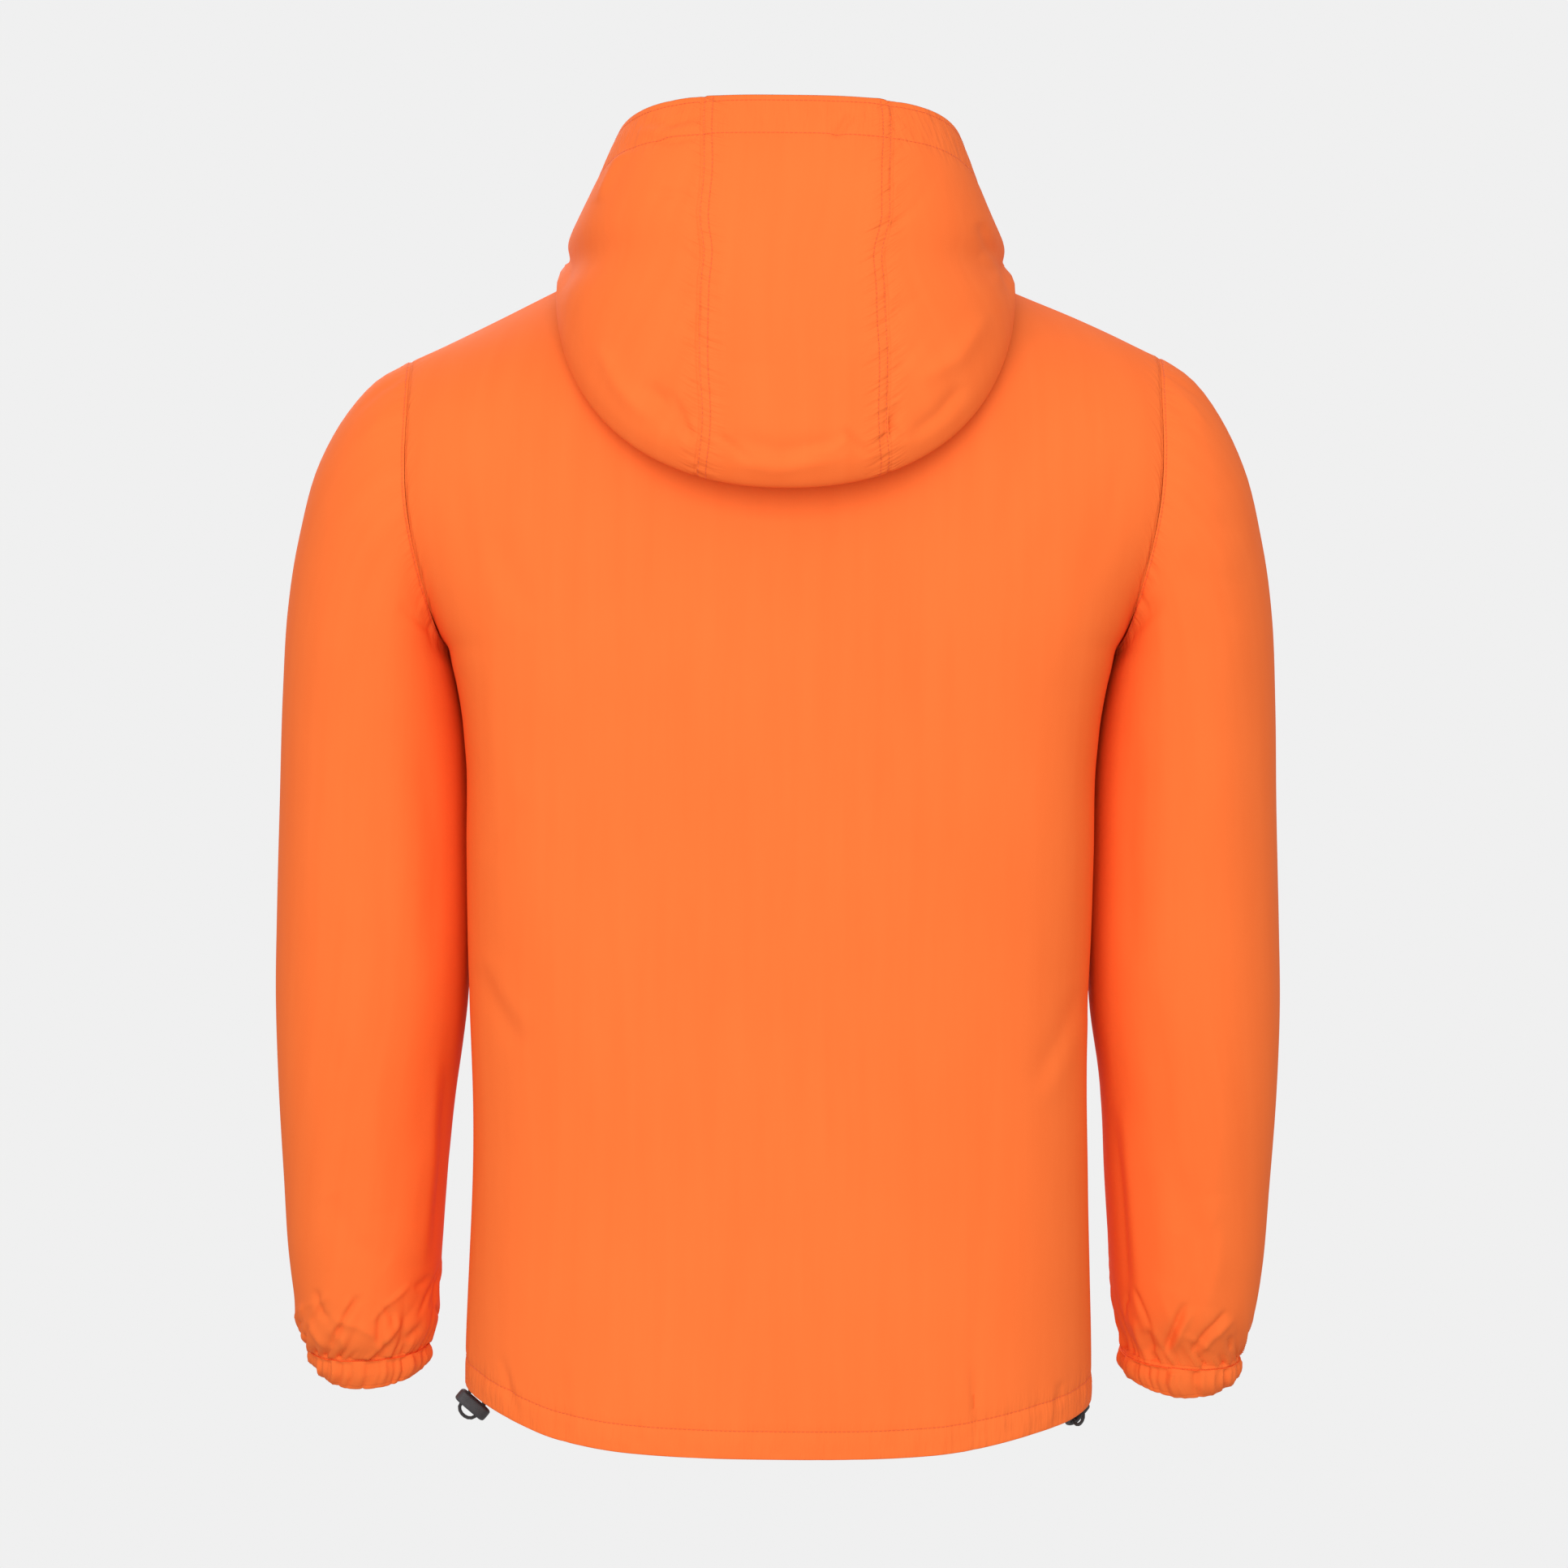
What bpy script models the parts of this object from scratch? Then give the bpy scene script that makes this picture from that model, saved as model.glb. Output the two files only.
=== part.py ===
"""Hooded windbreaker, filled out as worn with nobody in it.

Metres, +Z up, the front faces -Y and the wearer's left is +X. The origin is the centre of the neck
opening. Every cloth piece is a wall laid inwards from the points of its outer face, and the pieces meet at
their seams with a small gap.
"""

import math
from typing import NamedTuple

import bmesh
import bpy
import numpy as np
from mathutils import Matrix, Vector

# Thicknesses and gaps
CLOTH = 0.0016
CUFF_CLOTH = 0.0022
TAPE = 0.001
SEAM = 0.0002  # each side of a seam, so that two pieces lie 0.4 mm apart
PANEL_SEAM = 0.0004  # the same at the hood's panels, whose walls lean towards each other
ARM_SEAM = 0.0005  # from the armhole's edge to the sleeve's
NECK_SEAM = 0.0005  # from the neck's edge to the hood's

# Torso
HEM_SIDE = -0.677
HEM_BACK = -0.703
HEM_FRONT = -0.688
HEM_BEND = 1.5  # how late the hem starts to drop from the side seam
TOP_SQUARENESS = 2.6  # of the torso's oval section at its top
ARMPIT = -0.222
SHOULDER_TIP = -0.045
ARMHOLE_BACK = 0.084
ARMHOLE_FRONT = 0.078
UPPER_BACK = 0.122
UPPER_FRONT = 0.120
PANEL_COLUMNS = 12
NECK_COLUMNS = 5  # of them, those that end at the neck
NECK_SHARE = NECK_COLUMNS / PANEL_COLUMNS
CENTRE_BEND = 2.2  # how early the cloth leans in towards the neck at the centre
NECK_BEND = 1.7  # and at the neck's sides


class BodyRow(NamedTuple):
    """Section of the torso: height, half width, depths behind and before the side seams, and squareness."""

    z: float
    width: float
    back: float
    front: float
    square: float


BODY = [
    BodyRow(-0.705, 0.1920, 0.126, 0.122, 2.6),
    BodyRow(-0.650, 0.1920, 0.125, 0.122, 2.6),
    BodyRow(-0.600, 0.1905, 0.123, 0.121, 2.6),
    BodyRow(-0.550, 0.1890, 0.120, 0.119, 2.6),
    BodyRow(-0.500, 0.1885, 0.118, 0.118, 2.6),
    BodyRow(-0.430, 0.1900, 0.118, 0.119, 2.7),
    BodyRow(-0.350, 0.1915, 0.121, 0.121, 2.9),
    BodyRow(-0.280, 0.1935, 0.124, 0.123, 3.2),
    BodyRow(-0.247, 0.1975, 0.125, 0.123, 3.4),
    BodyRow(-0.222, 0.2030, 0.126, 0.123, 3.6),
]


class ArmholeRow(NamedTuple):
    """Place round the armhole, from the shoulder tip to the armpit, and its distance from the centre."""

    share: float
    x: float


ARMHOLE = [
    ArmholeRow(0.00, 0.2300),
    ArmholeRow(0.25, 0.2280),
    ArmholeRow(0.50, 0.2265),
    ArmholeRow(0.75, 0.2140),
    ArmholeRow(1.00, 0.2030),
]


class SleeveRow(NamedTuple):
    """Ring of a sleeve: its outer and inner points, and how far its back and front stand from its middle.

    belly moves its back and front outwards, and tilt lowers its back.
    """

    place: float
    outer_x: float
    outer_z: float
    inner_x: float
    inner_z: float
    belly: float
    middle_y: float
    back: float
    front: float
    tilt: float


SLEEVE = [
    SleeveRow(0.00, 0.2300, -0.0450, 0.2035, -0.2220, 0.0105, 0.000, 0.0840, 0.0780, 0.00),
    SleeveRow(0.04, 0.2505, -0.0570, 0.2045, -0.2255, 0.0100, 0.000, 0.0840, 0.0785, 0.00),
    SleeveRow(0.08, 0.2680, -0.0770, 0.2040, -0.2305, 0.0085, -0.001, 0.0830, 0.0785, 0.00),
    SleeveRow(0.13, 0.2845, -0.1070, 0.2020, -0.2380, 0.0070, -0.004, 0.0815, 0.0780, 0.00),
    SleeveRow(0.20, 0.2970, -0.1520, 0.1995, -0.2500, 0.0050, -0.009, 0.0800, 0.0775, 0.00),
    SleeveRow(0.28, 0.3050, -0.2000, 0.1965, -0.2670, 0.0030, -0.015, 0.0785, 0.0765, 0.00),
    SleeveRow(0.36, 0.3085, -0.2500, 0.1940, -0.2940, 0.0010, -0.021, 0.0765, 0.0755, 0.01),
    SleeveRow(0.47, 0.3105, -0.3200, 0.1928, -0.3450, 0.0000, -0.026, 0.0745, 0.0740, 0.03),
    SleeveRow(0.57, 0.3120, -0.3880, 0.1922, -0.3980, 0.0000, -0.030, 0.0715, 0.0715, 0.07),
    SleeveRow(0.66, 0.3125, -0.4420, 0.1938, -0.4420, 0.0000, -0.034, 0.0690, 0.0690, 0.10),
    SleeveRow(0.74, 0.3105, -0.4970, 0.2005, -0.4920, 0.0000, -0.038, 0.0650, 0.0650, 0.12),
    SleeveRow(0.82, 0.3075, -0.5490, 0.2043, -0.5430, 0.0000, -0.043, 0.0605, 0.0605, 0.13),
    SleeveRow(0.90, 0.3041, -0.6010, 0.2076, -0.5930, 0.0000, -0.048, 0.0560, 0.0550, 0.14),
    SleeveRow(0.96, 0.2990, -0.6360, 0.2085, -0.6300, 0.0000, -0.052, 0.0510, 0.0490, 0.15),
    SleeveRow(0.98, 0.2965, -0.6490, 0.2120, -0.6440, 0.0000, -0.054, 0.0460, 0.0440, 0.16),
    SleeveRow(1.00, 0.2915, -0.6600, 0.2165, -0.6560, 0.0000, -0.055, 0.0400, 0.0385, 0.16),
]
CUFF = [
    SleeveRow(0.0, 0.2918, -0.6605, 0.2162, -0.6565, 0.0000, -0.055, 0.0403, 0.0388, 0.16),
    SleeveRow(0.5, 0.2905, -0.6700, 0.2162, -0.6650, 0.0000, -0.057, 0.0400, 0.0385, 0.16),
    SleeveRow(1.0, 0.2850, -0.6797, 0.2180, -0.6737, 0.0000, -0.058, 0.0365, 0.0355, 0.16),
]
SLEEVE_SQUARENESS = 2.2
CAP_FADE = 0.25  # share of the sleeve over which its rings lose the armhole's own curve


class HoodRow(NamedTuple):
    """Ring of the hood from the neck seam to the opening's edge, at its back, sides and front.

    square rounds its width, plan its depth behind the sides, and droop and front_droop say how late it falls
    from its sides to the back and to the front.
    """

    place: float
    back_y: float
    back_z: float
    side_x: float
    side_y: float
    side_z: float
    front_z: float
    square: float
    plan: float
    droop: float
    front_droop: float


HOOD = [
    HoodRow(0.00, 0.0720, 0.0000, 0.1000, 0.000, 0.0180, -0.0650, 2.0, 2.0, 1.00, 1.5),
    HoodRow(0.04, 0.0800, 0.0110, 0.1040, -0.001, 0.0250, -0.0610, 2.0, 2.4, 1.00, 1.8),
    HoodRow(0.10, 0.0920, 0.0040, 0.1120, 0.000, 0.0240, -0.0570, 2.1, 3.2, 1.00, 2.2),
    HoodRow(0.20, 0.1090, -0.0300, 0.1210, 0.001, 0.0190, -0.0530, 2.2, 4.2, 0.95, 2.6),
    HoodRow(0.30, 0.1250, -0.0700, 0.1310, 0.002, 0.0140, -0.0480, 2.3, 5.0, 0.90, 2.8),
    HoodRow(0.38, 0.1345, -0.1050, 0.1390, 0.003, 0.0095, -0.0440, 2.4, 5.2, 0.86, 2.9),
    HoodRow(0.43, 0.1430, -0.1260, 0.1420, 0.004, 0.0075, -0.0410, 2.4, 5.0, 0.83, 3.0),
    HoodRow(0.47, 0.1535, -0.1315, 0.1435, 0.005, 0.0085, -0.0390, 2.4, 4.8, 0.82, 3.0),
    HoodRow(0.51, 0.1630, -0.1230, 0.1430, 0.006, 0.0115, -0.0370, 2.4, 4.6, 0.82, 3.0),
    HoodRow(0.60, 0.1710, -0.0850, 0.1405, 0.008, 0.0180, -0.0320, 2.5, 4.2, 0.82, 2.8),
    HoodRow(0.70, 0.1740, -0.0350, 0.1360, 0.010, 0.0270, -0.0270, 2.5, 3.8, 0.78, 2.5),
    HoodRow(0.80, 0.1700, 0.0150, 0.1285, 0.013, 0.0370, -0.0220, 2.6, 3.4, 0.70, 2.2),
    HoodRow(0.90, 0.1580, 0.0600, 0.1190, 0.016, 0.0470, -0.0170, 2.8, 3.2, 0.55, 1.9),
    HoodRow(1.00, 0.1320, 0.1010, 0.1065, 0.020, 0.0550, -0.0120, 3.0, 3.0, 0.36, 1.7),
]
NECK_FRONT = -0.088
HOOD_SEAM = 0.0555  # of the centre panel, from the centre line
HOOD_SEAM_AT_NECK = 0.040

# Zip
ZIP_EDGE = 0.006  # of each front, from the centre line
TAPE_EDGE = 0.0018
TAPE_WIDTH = 0.0117
TAPE_DEPTH = 0.0028  # behind the fronts' outer face
CHAIN_HALF_WIDTH = 0.0030
CHAIN_PROUD = 0.0002
CHAIN_THICKNESS = 0.0021
BOX_HEIGHT = 0.012
BOX_HALF_WIDTH = 0.0045
SLIDER_Z = -0.027
SLIDER_HALF_WIDTH = 0.0048
SLIDER_LENGTH = 0.013
SLIDER_PLATE = 0.0012
SLIDER_CLEARANCE = 0.0004
BRIDGE_HALF_WIDTH = 0.0009
BRIDGE_HALF_LENGTH = 0.0042
BRIDGE_BAR = 0.0010
BRIDGE_ROOM = 0.0026
TAB_HALF_WIDTH = 0.0032
TAB_ARM = 0.0017
TAB_BAR = 0.0008  # half the height of the bar that the tab turns on
TAB_HOLE = 0.0053
TAB_LENGTH = 0.028
TAB_THICKNESS = 0.0012

# Hem cord and its stoppers
CORD_DIAMETER = 0.0022
TOGGLE_LENGTH = 0.023
TOGGLE_WIDTH = 0.010
TOGGLE_DEPTH = 0.008
TOGGLE_SLOT_LENGTH = 0.0170
TOGGLE_SLOT_WIDTH = 0.0034
TOGGLE_CENTRE = Vector((0.1862, -0.006, -0.6895))
TOGGLE_LEAN = math.radians(40)
TOGGLE_TURNS = {"left": 0.0, "right": math.radians(58)}
STRAND = 0.0059  # each strand of the loop, from the middle of the slot
CORD_END_Y = {"left": (-0.0105, -0.0030), "right": (0.0035, -0.0155)}  # of the loop's ends


class Paint(NamedTuple):
    """Plain finish of one material."""

    colour: tuple
    roughness: float
    metallic: float


PAINTS = {
    "shell": Paint((0.96, 0.21, 0.045, 1.0), 0.50, 0.0),
    "zip_tape": Paint((0.80, 0.15, 0.035, 1.0), 0.80, 0.0),
    "zip_chain": Paint((0.055, 0.053, 0.056, 1.0), 0.45, 0.0),
    "zip_metal": Paint((0.075, 0.073, 0.078, 1.0), 0.35, 0.6),
    "toggle": Paint((0.060, 0.055, 0.058, 1.0), 0.55, 0.0),
    "cord": Paint((0.040, 0.036, 0.037, 1.0), 0.85, 0.0),
}


# Sections


def along(rows, place):
    """Row at a place, on a smooth cubic through the rows, whose first column is the place."""
    table = np.array(rows, dtype=float)
    places = table[:, 0]
    k = int(np.clip(np.searchsorted(places, place) - 1, 0, len(places) - 2))
    slopes = np.gradient(table, places, axis=0)
    step = places[k + 1] - places[k]
    u = min(max((place - places[k]) / step, 0.0), 1.0)
    value = (
        (2 * u**3 - 3 * u**2 + 1) * table[k]
        + (u**3 - 2 * u**2 + u) * step * slopes[k]
        + (3 * u**2 - 2 * u**3) * table[k + 1]
        + (u**3 - u**2) * step * slopes[k + 1]
    )
    return type(rows[0])(*value)


def mix(a, b, share):
    return a + (b - a) * share


def power(value, exponent):
    """Power that keeps the sign, for the ovals' sine and cosine."""
    return math.copysign(abs(value) ** exponent, value)


def oval_depth(share, squareness):
    """Depth of an oval where a point stands at this share of its half width."""
    return max(1.0 - min(share, 1.0) ** squareness, 0.0) ** (1.0 / squareness)


def hood_point(place, angle):
    """Point of the hood: angle 0 at the centre back, a half turn at the centre front."""
    row = along(HOOD, place)
    s, c = math.sin(angle), math.cos(angle)
    end_y, end_z = (row.back_y, row.back_z) if c >= 0 else (NECK_FRONT, row.front_z)
    fall, plan = (row.droop, row.plan) if c >= 0 else (row.front_droop, row.square)
    x = row.side_x * power(s, 2 / row.square)
    y = mix(row.side_y, end_y, abs(c) ** (2 / plan))
    z = mix(row.side_z, end_z, abs(c) ** fall)
    return Vector((x, y, z))


def hood_angle(place, x, front=False):
    """Angle at which the hood's ring stands x from the centre line, behind or before its sides."""
    row = along(HOOD, place)
    angle = math.asin(min((x / row.side_x) ** (row.square / 2), 1.0))
    return math.pi - angle if front else angle


def armhole(angle, face):
    """Point of the armhole's edge: angle 0 at the shoulder tip, a half turn at the armpit."""
    middle, radius = (SHOULDER_TIP + ARMPIT) / 2, (SHOULDER_TIP - ARMPIT) / 2
    reach = ARMHOLE_BACK if face > 0 else ARMHOLE_FRONT
    x = along(ARMHOLE, angle / math.pi).x
    return Vector((x, face * reach * math.sin(angle), middle + radius * math.cos(angle)))


def lower_body(across, level, face, edge):
    """Point between the hem and the armpits. level runs from 0 to 1 there."""
    row = along(BODY, mix(HEM_SIDE, ARMPIT, level))
    depth = row.back if face > 0 else row.front
    x = mix(edge, row.width, math.sin(across * math.pi / 2))
    share = oval_depth(x / row.width, row.square)
    hem = mix(HEM_SIDE, HEM_BACK if face > 0 else HEM_FRONT, share**HEM_BEND)
    return Vector((x, face * (depth * share), mix(hem, ARMPIT, level)))


def upper_body(across, level, face, edge):
    """Point between the armpits and the neck and shoulder seams. level runs from 1 to 2 there."""
    angle = math.pi * (2.0 - level)
    rise = (1.0 + math.cos(angle)) / 2
    tip, side = armhole(0.0, face), armhole(angle, face)
    closing = math.sin(angle) if angle < math.pi / 2 else 1.0
    low = along(BODY, ARMPIT)
    depth = mix(low.back, UPPER_BACK, rise) if face > 0 else mix(low.front, UPPER_FRONT, rise)
    reach = (ARMHOLE_BACK if face > 0 else ARMHOLE_FRONT) / depth
    reach *= 1.0 if angle < math.pi / 2 else math.sin(angle)
    square = mix(low.square, TOP_SQUARENESS, math.sin(rise * math.pi / 2))
    width = side.x / oval_depth(reach, square)
    neck_width = HOOD[0].side_x
    if across < NECK_SHARE:
        top_x = mix(edge, neck_width, math.sin(across / NECK_SHARE * math.pi / 2))
        top = hood_point(0.0, hood_angle(0.0, top_x, front=face < 0))
        top_y, top_z, bend = abs(top.y), top.z, mix(CENTRE_BEND, NECK_BEND, top_x / neck_width)
    else:
        along_seam = (across - NECK_SHARE) / (1 - NECK_SHARE)
        top_x = mix(neck_width, tip.x, along_seam)
        top_y, top_z, bend = 0.0, mix(HOOD[0].side_z, tip.z, along_seam), mix(NECK_BEND, 1.0, along_seam)
    low_share = mix(edge / side.x, 1.0, math.sin(across * math.pi / 2))
    x = side.x * mix(low_share, top_x / tip.x, rise**2)
    full = depth * oval_depth(x / width, square)
    y = top_y + (full - top_y) * max(closing, 0.0) ** bend
    return Vector((x, face * y, mix(ARMPIT, top_z, rise)))


def body_point(across, level, face, edge=0.0):
    """Point of the torso: across runs from the centre or zip edge to the side, level from hem to top."""
    section = lower_body if level <= 1.0 else upper_body
    return section(across, level, face, edge)


def ring_point(row, angle):
    """Point of a sleeve's ring: angle 0 outside, a quarter turn behind, a half turn inside."""
    s, c = math.sin(angle), math.cos(angle)
    round_c, round_s = power(c, 2 / SLEEVE_SQUARENESS), power(s, 2 / SLEEVE_SQUARENESS)
    x = (row.outer_x + row.inner_x) / 2 + (row.outer_x - row.inner_x) / 2 * round_c + row.belly * abs(s)
    off = round_s * (row.back if s >= 0 else row.front)
    z = (row.outer_z + row.inner_z) / 2 + (row.outer_z - row.inner_z) / 2 * round_c - off * row.tilt
    return Vector((x, row.middle_y + off, z))


def sleeve_point(place, angle):
    """Point of the left sleeve, whose first ring is the armhole's edge."""
    point = ring_point(along(SLEEVE, place), angle)
    face = 1.0 if math.sin(angle) >= 0 else -1.0
    turn = math.acos(math.cos(angle))
    edge = armhole(turn, face) + Vector((ARM_SEAM, 0.0, 0.0))
    fade = max(1.0 - place / CAP_FADE, 0.0) ** 2
    return point + (edge - ring_point(SLEEVE[0], angle)) * fade


# Makers


def material(name):
    paint = PAINTS[name]
    made = bpy.data.materials.new(name)
    made.use_nodes = True
    shader = made.node_tree.nodes["Principled BSDF"]
    shader.inputs["Base Color"].default_value = paint.colour
    shader.inputs["Roughness"].default_value = paint.roughness
    shader.inputs["Metallic"].default_value = paint.metallic
    made.diffuse_color = paint.colour
    return made


def add_object(name, mesh, slot):
    """New object with its own material of a finish."""
    made = bpy.data.objects.new(name, mesh)
    bpy.context.scene.collection.objects.link(made)
    mesh.materials.append(material(slot))
    return made


def mesh_from(name, points, faces):
    """Closed mesh with its faces turned outwards."""
    bm = bmesh.new()
    verts = [bm.verts.new(p) for p in points]
    for face in faces:
        bm.faces.new([verts[i] for i in face])
    bmesh.ops.recalc_face_normals(bm, faces=bm.faces[:])
    mesh = bpy.data.meshes.new(name)
    bm.to_mesh(mesh)
    bm.free()
    mesh.shade_smooth()
    mesh.set_sharp_from_angle(angle=math.radians(50))
    return mesh


def grid_normals(grid, closed):
    """Outward normals of a grid whose columns run left to right seen from outside, and its rows upwards."""
    if closed:
        wrapped = np.concatenate([grid[:, -1:], grid, grid[:, :1]], axis=1)
        across = np.gradient(wrapped, axis=1)[:, 1:-1]
    else:
        across = np.gradient(grid, axis=1)
    up = np.gradient(grid, axis=0)
    normals = np.cross(across, up)
    return normals / np.linalg.norm(normals, axis=2, keepdims=True)


def wall(name, rows, slot, thickness=CLOTH, depth=0.0, closed=False, face=0.0):
    """Cloth wall laid inwards from a grid of points.

    rows is the grid, depth is how far behind it the wall's outer face lies, closed joins the last column to
    the first, and face keeps the wall on one side of the side and shoulder seams (+1 behind, -1 before).
    """
    grid = np.array([[tuple(p) for p in row] for row in rows])
    normals = grid_normals(grid, closed)
    outer = grid - normals * depth
    inner = outer - normals * thickness
    if face:
        for side in (outer, inner):
            side[:, :, 1] = face * np.maximum(face * side[:, :, 1], 0.0) + face * SEAM
    n, m = grid.shape[:2]
    points = np.concatenate([outer.reshape(-1, 3), inner.reshape(-1, 3)])
    back = n * m
    spans = m if closed else m - 1
    faces = []
    for i in range(n - 1):
        for j in range(spans):
            a, b = i * m + j, i * m + (j + 1) % m
            faces.append((a, b, b + m, a + m))
            faces.append((back + a, back + a + m, back + b + m, back + b))
    for j in range(spans):
        for i in (0, n - 1):
            a, b = i * m + j, i * m + (j + 1) % m
            faces.append((a, b, back + b, back + a))
    if not closed:
        for i in range(n - 1):
            for a in (i * m, i * m + m - 1):
                faces.append((a, a + m, back + a + m, back + a))
    return add_object(name, mesh_from(name, points, faces), slot)


def mirrored(rows):
    """Grid on the other side of the centre line, with its columns still left to right from outside."""
    return [[Vector((-p.x, p.y, p.z)) for p in reversed(row)] for row in rows]


def ring_solid(name, loops, slot):
    """Solid bounded by loops of points that follow each other round, such as a plate with a hole."""
    count = len(loops[0])
    points = [p for loop in loops for p in loop]
    faces = []
    for k in range(len(loops)):
        this, following = k * count, (k + 1) % len(loops) * count
        for j in range(count):
            after = (j + 1) % count
            faces.append((this + j, this + after, following + after, following + j))
    return add_object(name, mesh_from(name, points, faces), slot)


def block_mesh(name, low, high):
    """Box between two corners."""
    bm = bmesh.new()
    bmesh.ops.create_cube(bm, size=1.0)
    for vert in bm.verts:
        vert.co = Vector([mix(low[k], high[k], vert.co[k] + 0.5) for k in range(3)])
    mesh = bpy.data.meshes.new(name)
    bm.to_mesh(mesh)
    bm.free()
    return mesh


def shares(count, first=0.0, last=1.0):
    return [mix(first, last, k / count) for k in range(count + 1)]


# Cloth

LOW_ROWS = shares(9, 0.0, 1.0)
HIGH_ROWS = shares(9, 1.0, 2.0)[1:]
BODY_LEVELS = LOW_ROWS + HIGH_ROWS


def build_back():
    """One-piece back, from the wearer's left side seam to the right one."""
    columns = shares(PANEL_COLUMNS)
    rows = []
    for level in BODY_LEVELS:
        half = [body_point(c, level, 1.0) for c in columns]
        other = [Vector((-p.x, p.y, p.z)) for p in half[1:]]
        rows.append(half[::-1] + other)
    wall("back", rows, "shell", face=1.0)


def build_fronts():
    """Two fronts, each from its side seam to the zip."""
    columns = shares(PANEL_COLUMNS)
    left = [[body_point(c, level, -1.0, ZIP_EDGE) for c in columns] for level in BODY_LEVELS]
    wall("front_left", left, "shell", face=-1.0)
    wall("front_right", mirrored(left), "shell", face=-1.0)


def build_sleeves():
    """Two sleeves, from the armhole to the gathered wrist."""
    places = shares(5, 0.0, 0.20) + shares(9, 0.20, 0.90)[1:] + [0.93, 0.96, 0.98, 1.0]
    angles = shares(18, 0.0, 2 * math.pi)[:-1]
    left = [[sleeve_point(place, a) for a in angles] for place in reversed(places)]
    wall("sleeve_left", left, "shell", closed=True)
    wall("sleeve_right", mirrored(left), "shell", closed=True)


def build_cuffs():
    """Two elasticated bands below the sleeves."""
    angles = shares(18, 0.0, 2 * math.pi)[:-1]
    left = [[ring_point(row, a) for a in angles] for row in reversed(CUFF)]
    wall("cuff_left", left, "shell", thickness=CUFF_CLOTH, closed=True)
    wall("cuff_right", mirrored(left), "shell", thickness=CUFF_CLOTH, closed=True)


def seam_x(place):
    """Distance from the centre line of the seam between the hood's centre and side panels."""
    return mix(HOOD_SEAM_AT_NECK, HOOD_SEAM, min(place / 0.3, 1.0))


def front_shares():
    """Shares of the hood's front angles at which its columns meet those of the fronts at the neck."""
    corners = [body_point(c, 2.0, -1.0, ZIP_EDGE).x for c in shares(NECK_COLUMNS, NECK_SHARE, 0.0)]
    angles = [hood_angle(0.0, x, front=True) for x in corners]
    return [(a - angles[0]) / (angles[-1] - angles[0]) for a in angles]


def build_hood():
    """Three panels, from the neck seam over the pouch to the opening's edge."""
    places = [row.place for row in HOOD]
    lift = Vector((0.0, 0.0, NECK_SEAM))
    centre, left = [], []
    for place in places:
        last = hood_angle(place, seam_x(place) - PANEL_SEAM)
        centre.append([hood_point(place, a) + lift for a in shares(8, -last, last)][::-1])
        first = hood_angle(place, seam_x(place) + PANEL_SEAM)
        end = hood_angle(place, ZIP_EDGE, front=True)
        angles = shares(8, first, math.pi / 2) + [mix(math.pi / 2, end, s) for s in front_shares()[1:]]
        left.append([hood_point(place, a) + lift for a in angles][::-1])
    wall("hood_centre", centre, "shell")
    wall("hood_left", left, "shell")
    wall("hood_right", mirrored(left), "shell")


# Zip


def zip_line(x):
    """Points of the front and of the hood at this distance from the centre line, from the hem upwards."""
    body = [body_point(0.0, level, -1.0, x) for level in BODY_LEVELS]
    hood = [hood_point(row.place, hood_angle(row.place, x, front=True)) for row in HOOD[1:]]
    return [Vector((x, p.y, p.z)) for p in body + hood]


def build_zip():
    """Tapes, closed chain, slider, pull tab and the box at the hem."""
    inner, outer = TAPE_EDGE, TAPE_EDGE + TAPE_WIDTH
    left = [list(row) for row in zip(zip_line(inner), zip_line(outer))]
    wall("zip_tape_left", left, "zip_tape", thickness=TAPE, depth=TAPE_DEPTH)
    wall("zip_tape_right", mirrored(left), "zip_tape", thickness=TAPE, depth=TAPE_DEPTH)

    bottom = HEM_FRONT + BOX_HEIGHT + SLIDER_CLEARANCE
    line = [p for p in zip_line(0.0) if bottom + 0.002 < p.z < SLIDER_Z - 0.002]
    line = [Vector((0.0, along(BODY, bottom).front * -1.0, bottom))] + line
    line.append(Vector((0.0, NECK_FRONT, SLIDER_Z)))
    chain = [[p + Vector((x, 0.0, 0.0)) for x in (-CHAIN_HALF_WIDTH, CHAIN_HALF_WIDTH)] for p in line]
    wall("zip_chain", chain, "zip_chain", thickness=CHAIN_THICKNESS, depth=-CHAIN_PROUD)

    hem = body_point(0.0, 0.0, -1.0)
    box = block_mesh(
        "zip_box",
        (-BOX_HALF_WIDTH, hem.y - 0.0008, hem.z),
        (BOX_HALF_WIDTH, hem.y + TAPE_DEPTH - SLIDER_CLEARANCE, hem.z + BOX_HEIGHT),
    )
    add_object("zip_box", box, "zip_metal")
    build_slider()
    build_tab()


def pivot():
    """Centre of the bar that the pull tab turns on."""
    face = NECK_FRONT - CHAIN_PROUD - SLIDER_CLEARANCE - SLIDER_PLATE
    return Vector((0.0, face - BRIDGE_ROOM / 2, SLIDER_Z))


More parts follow.
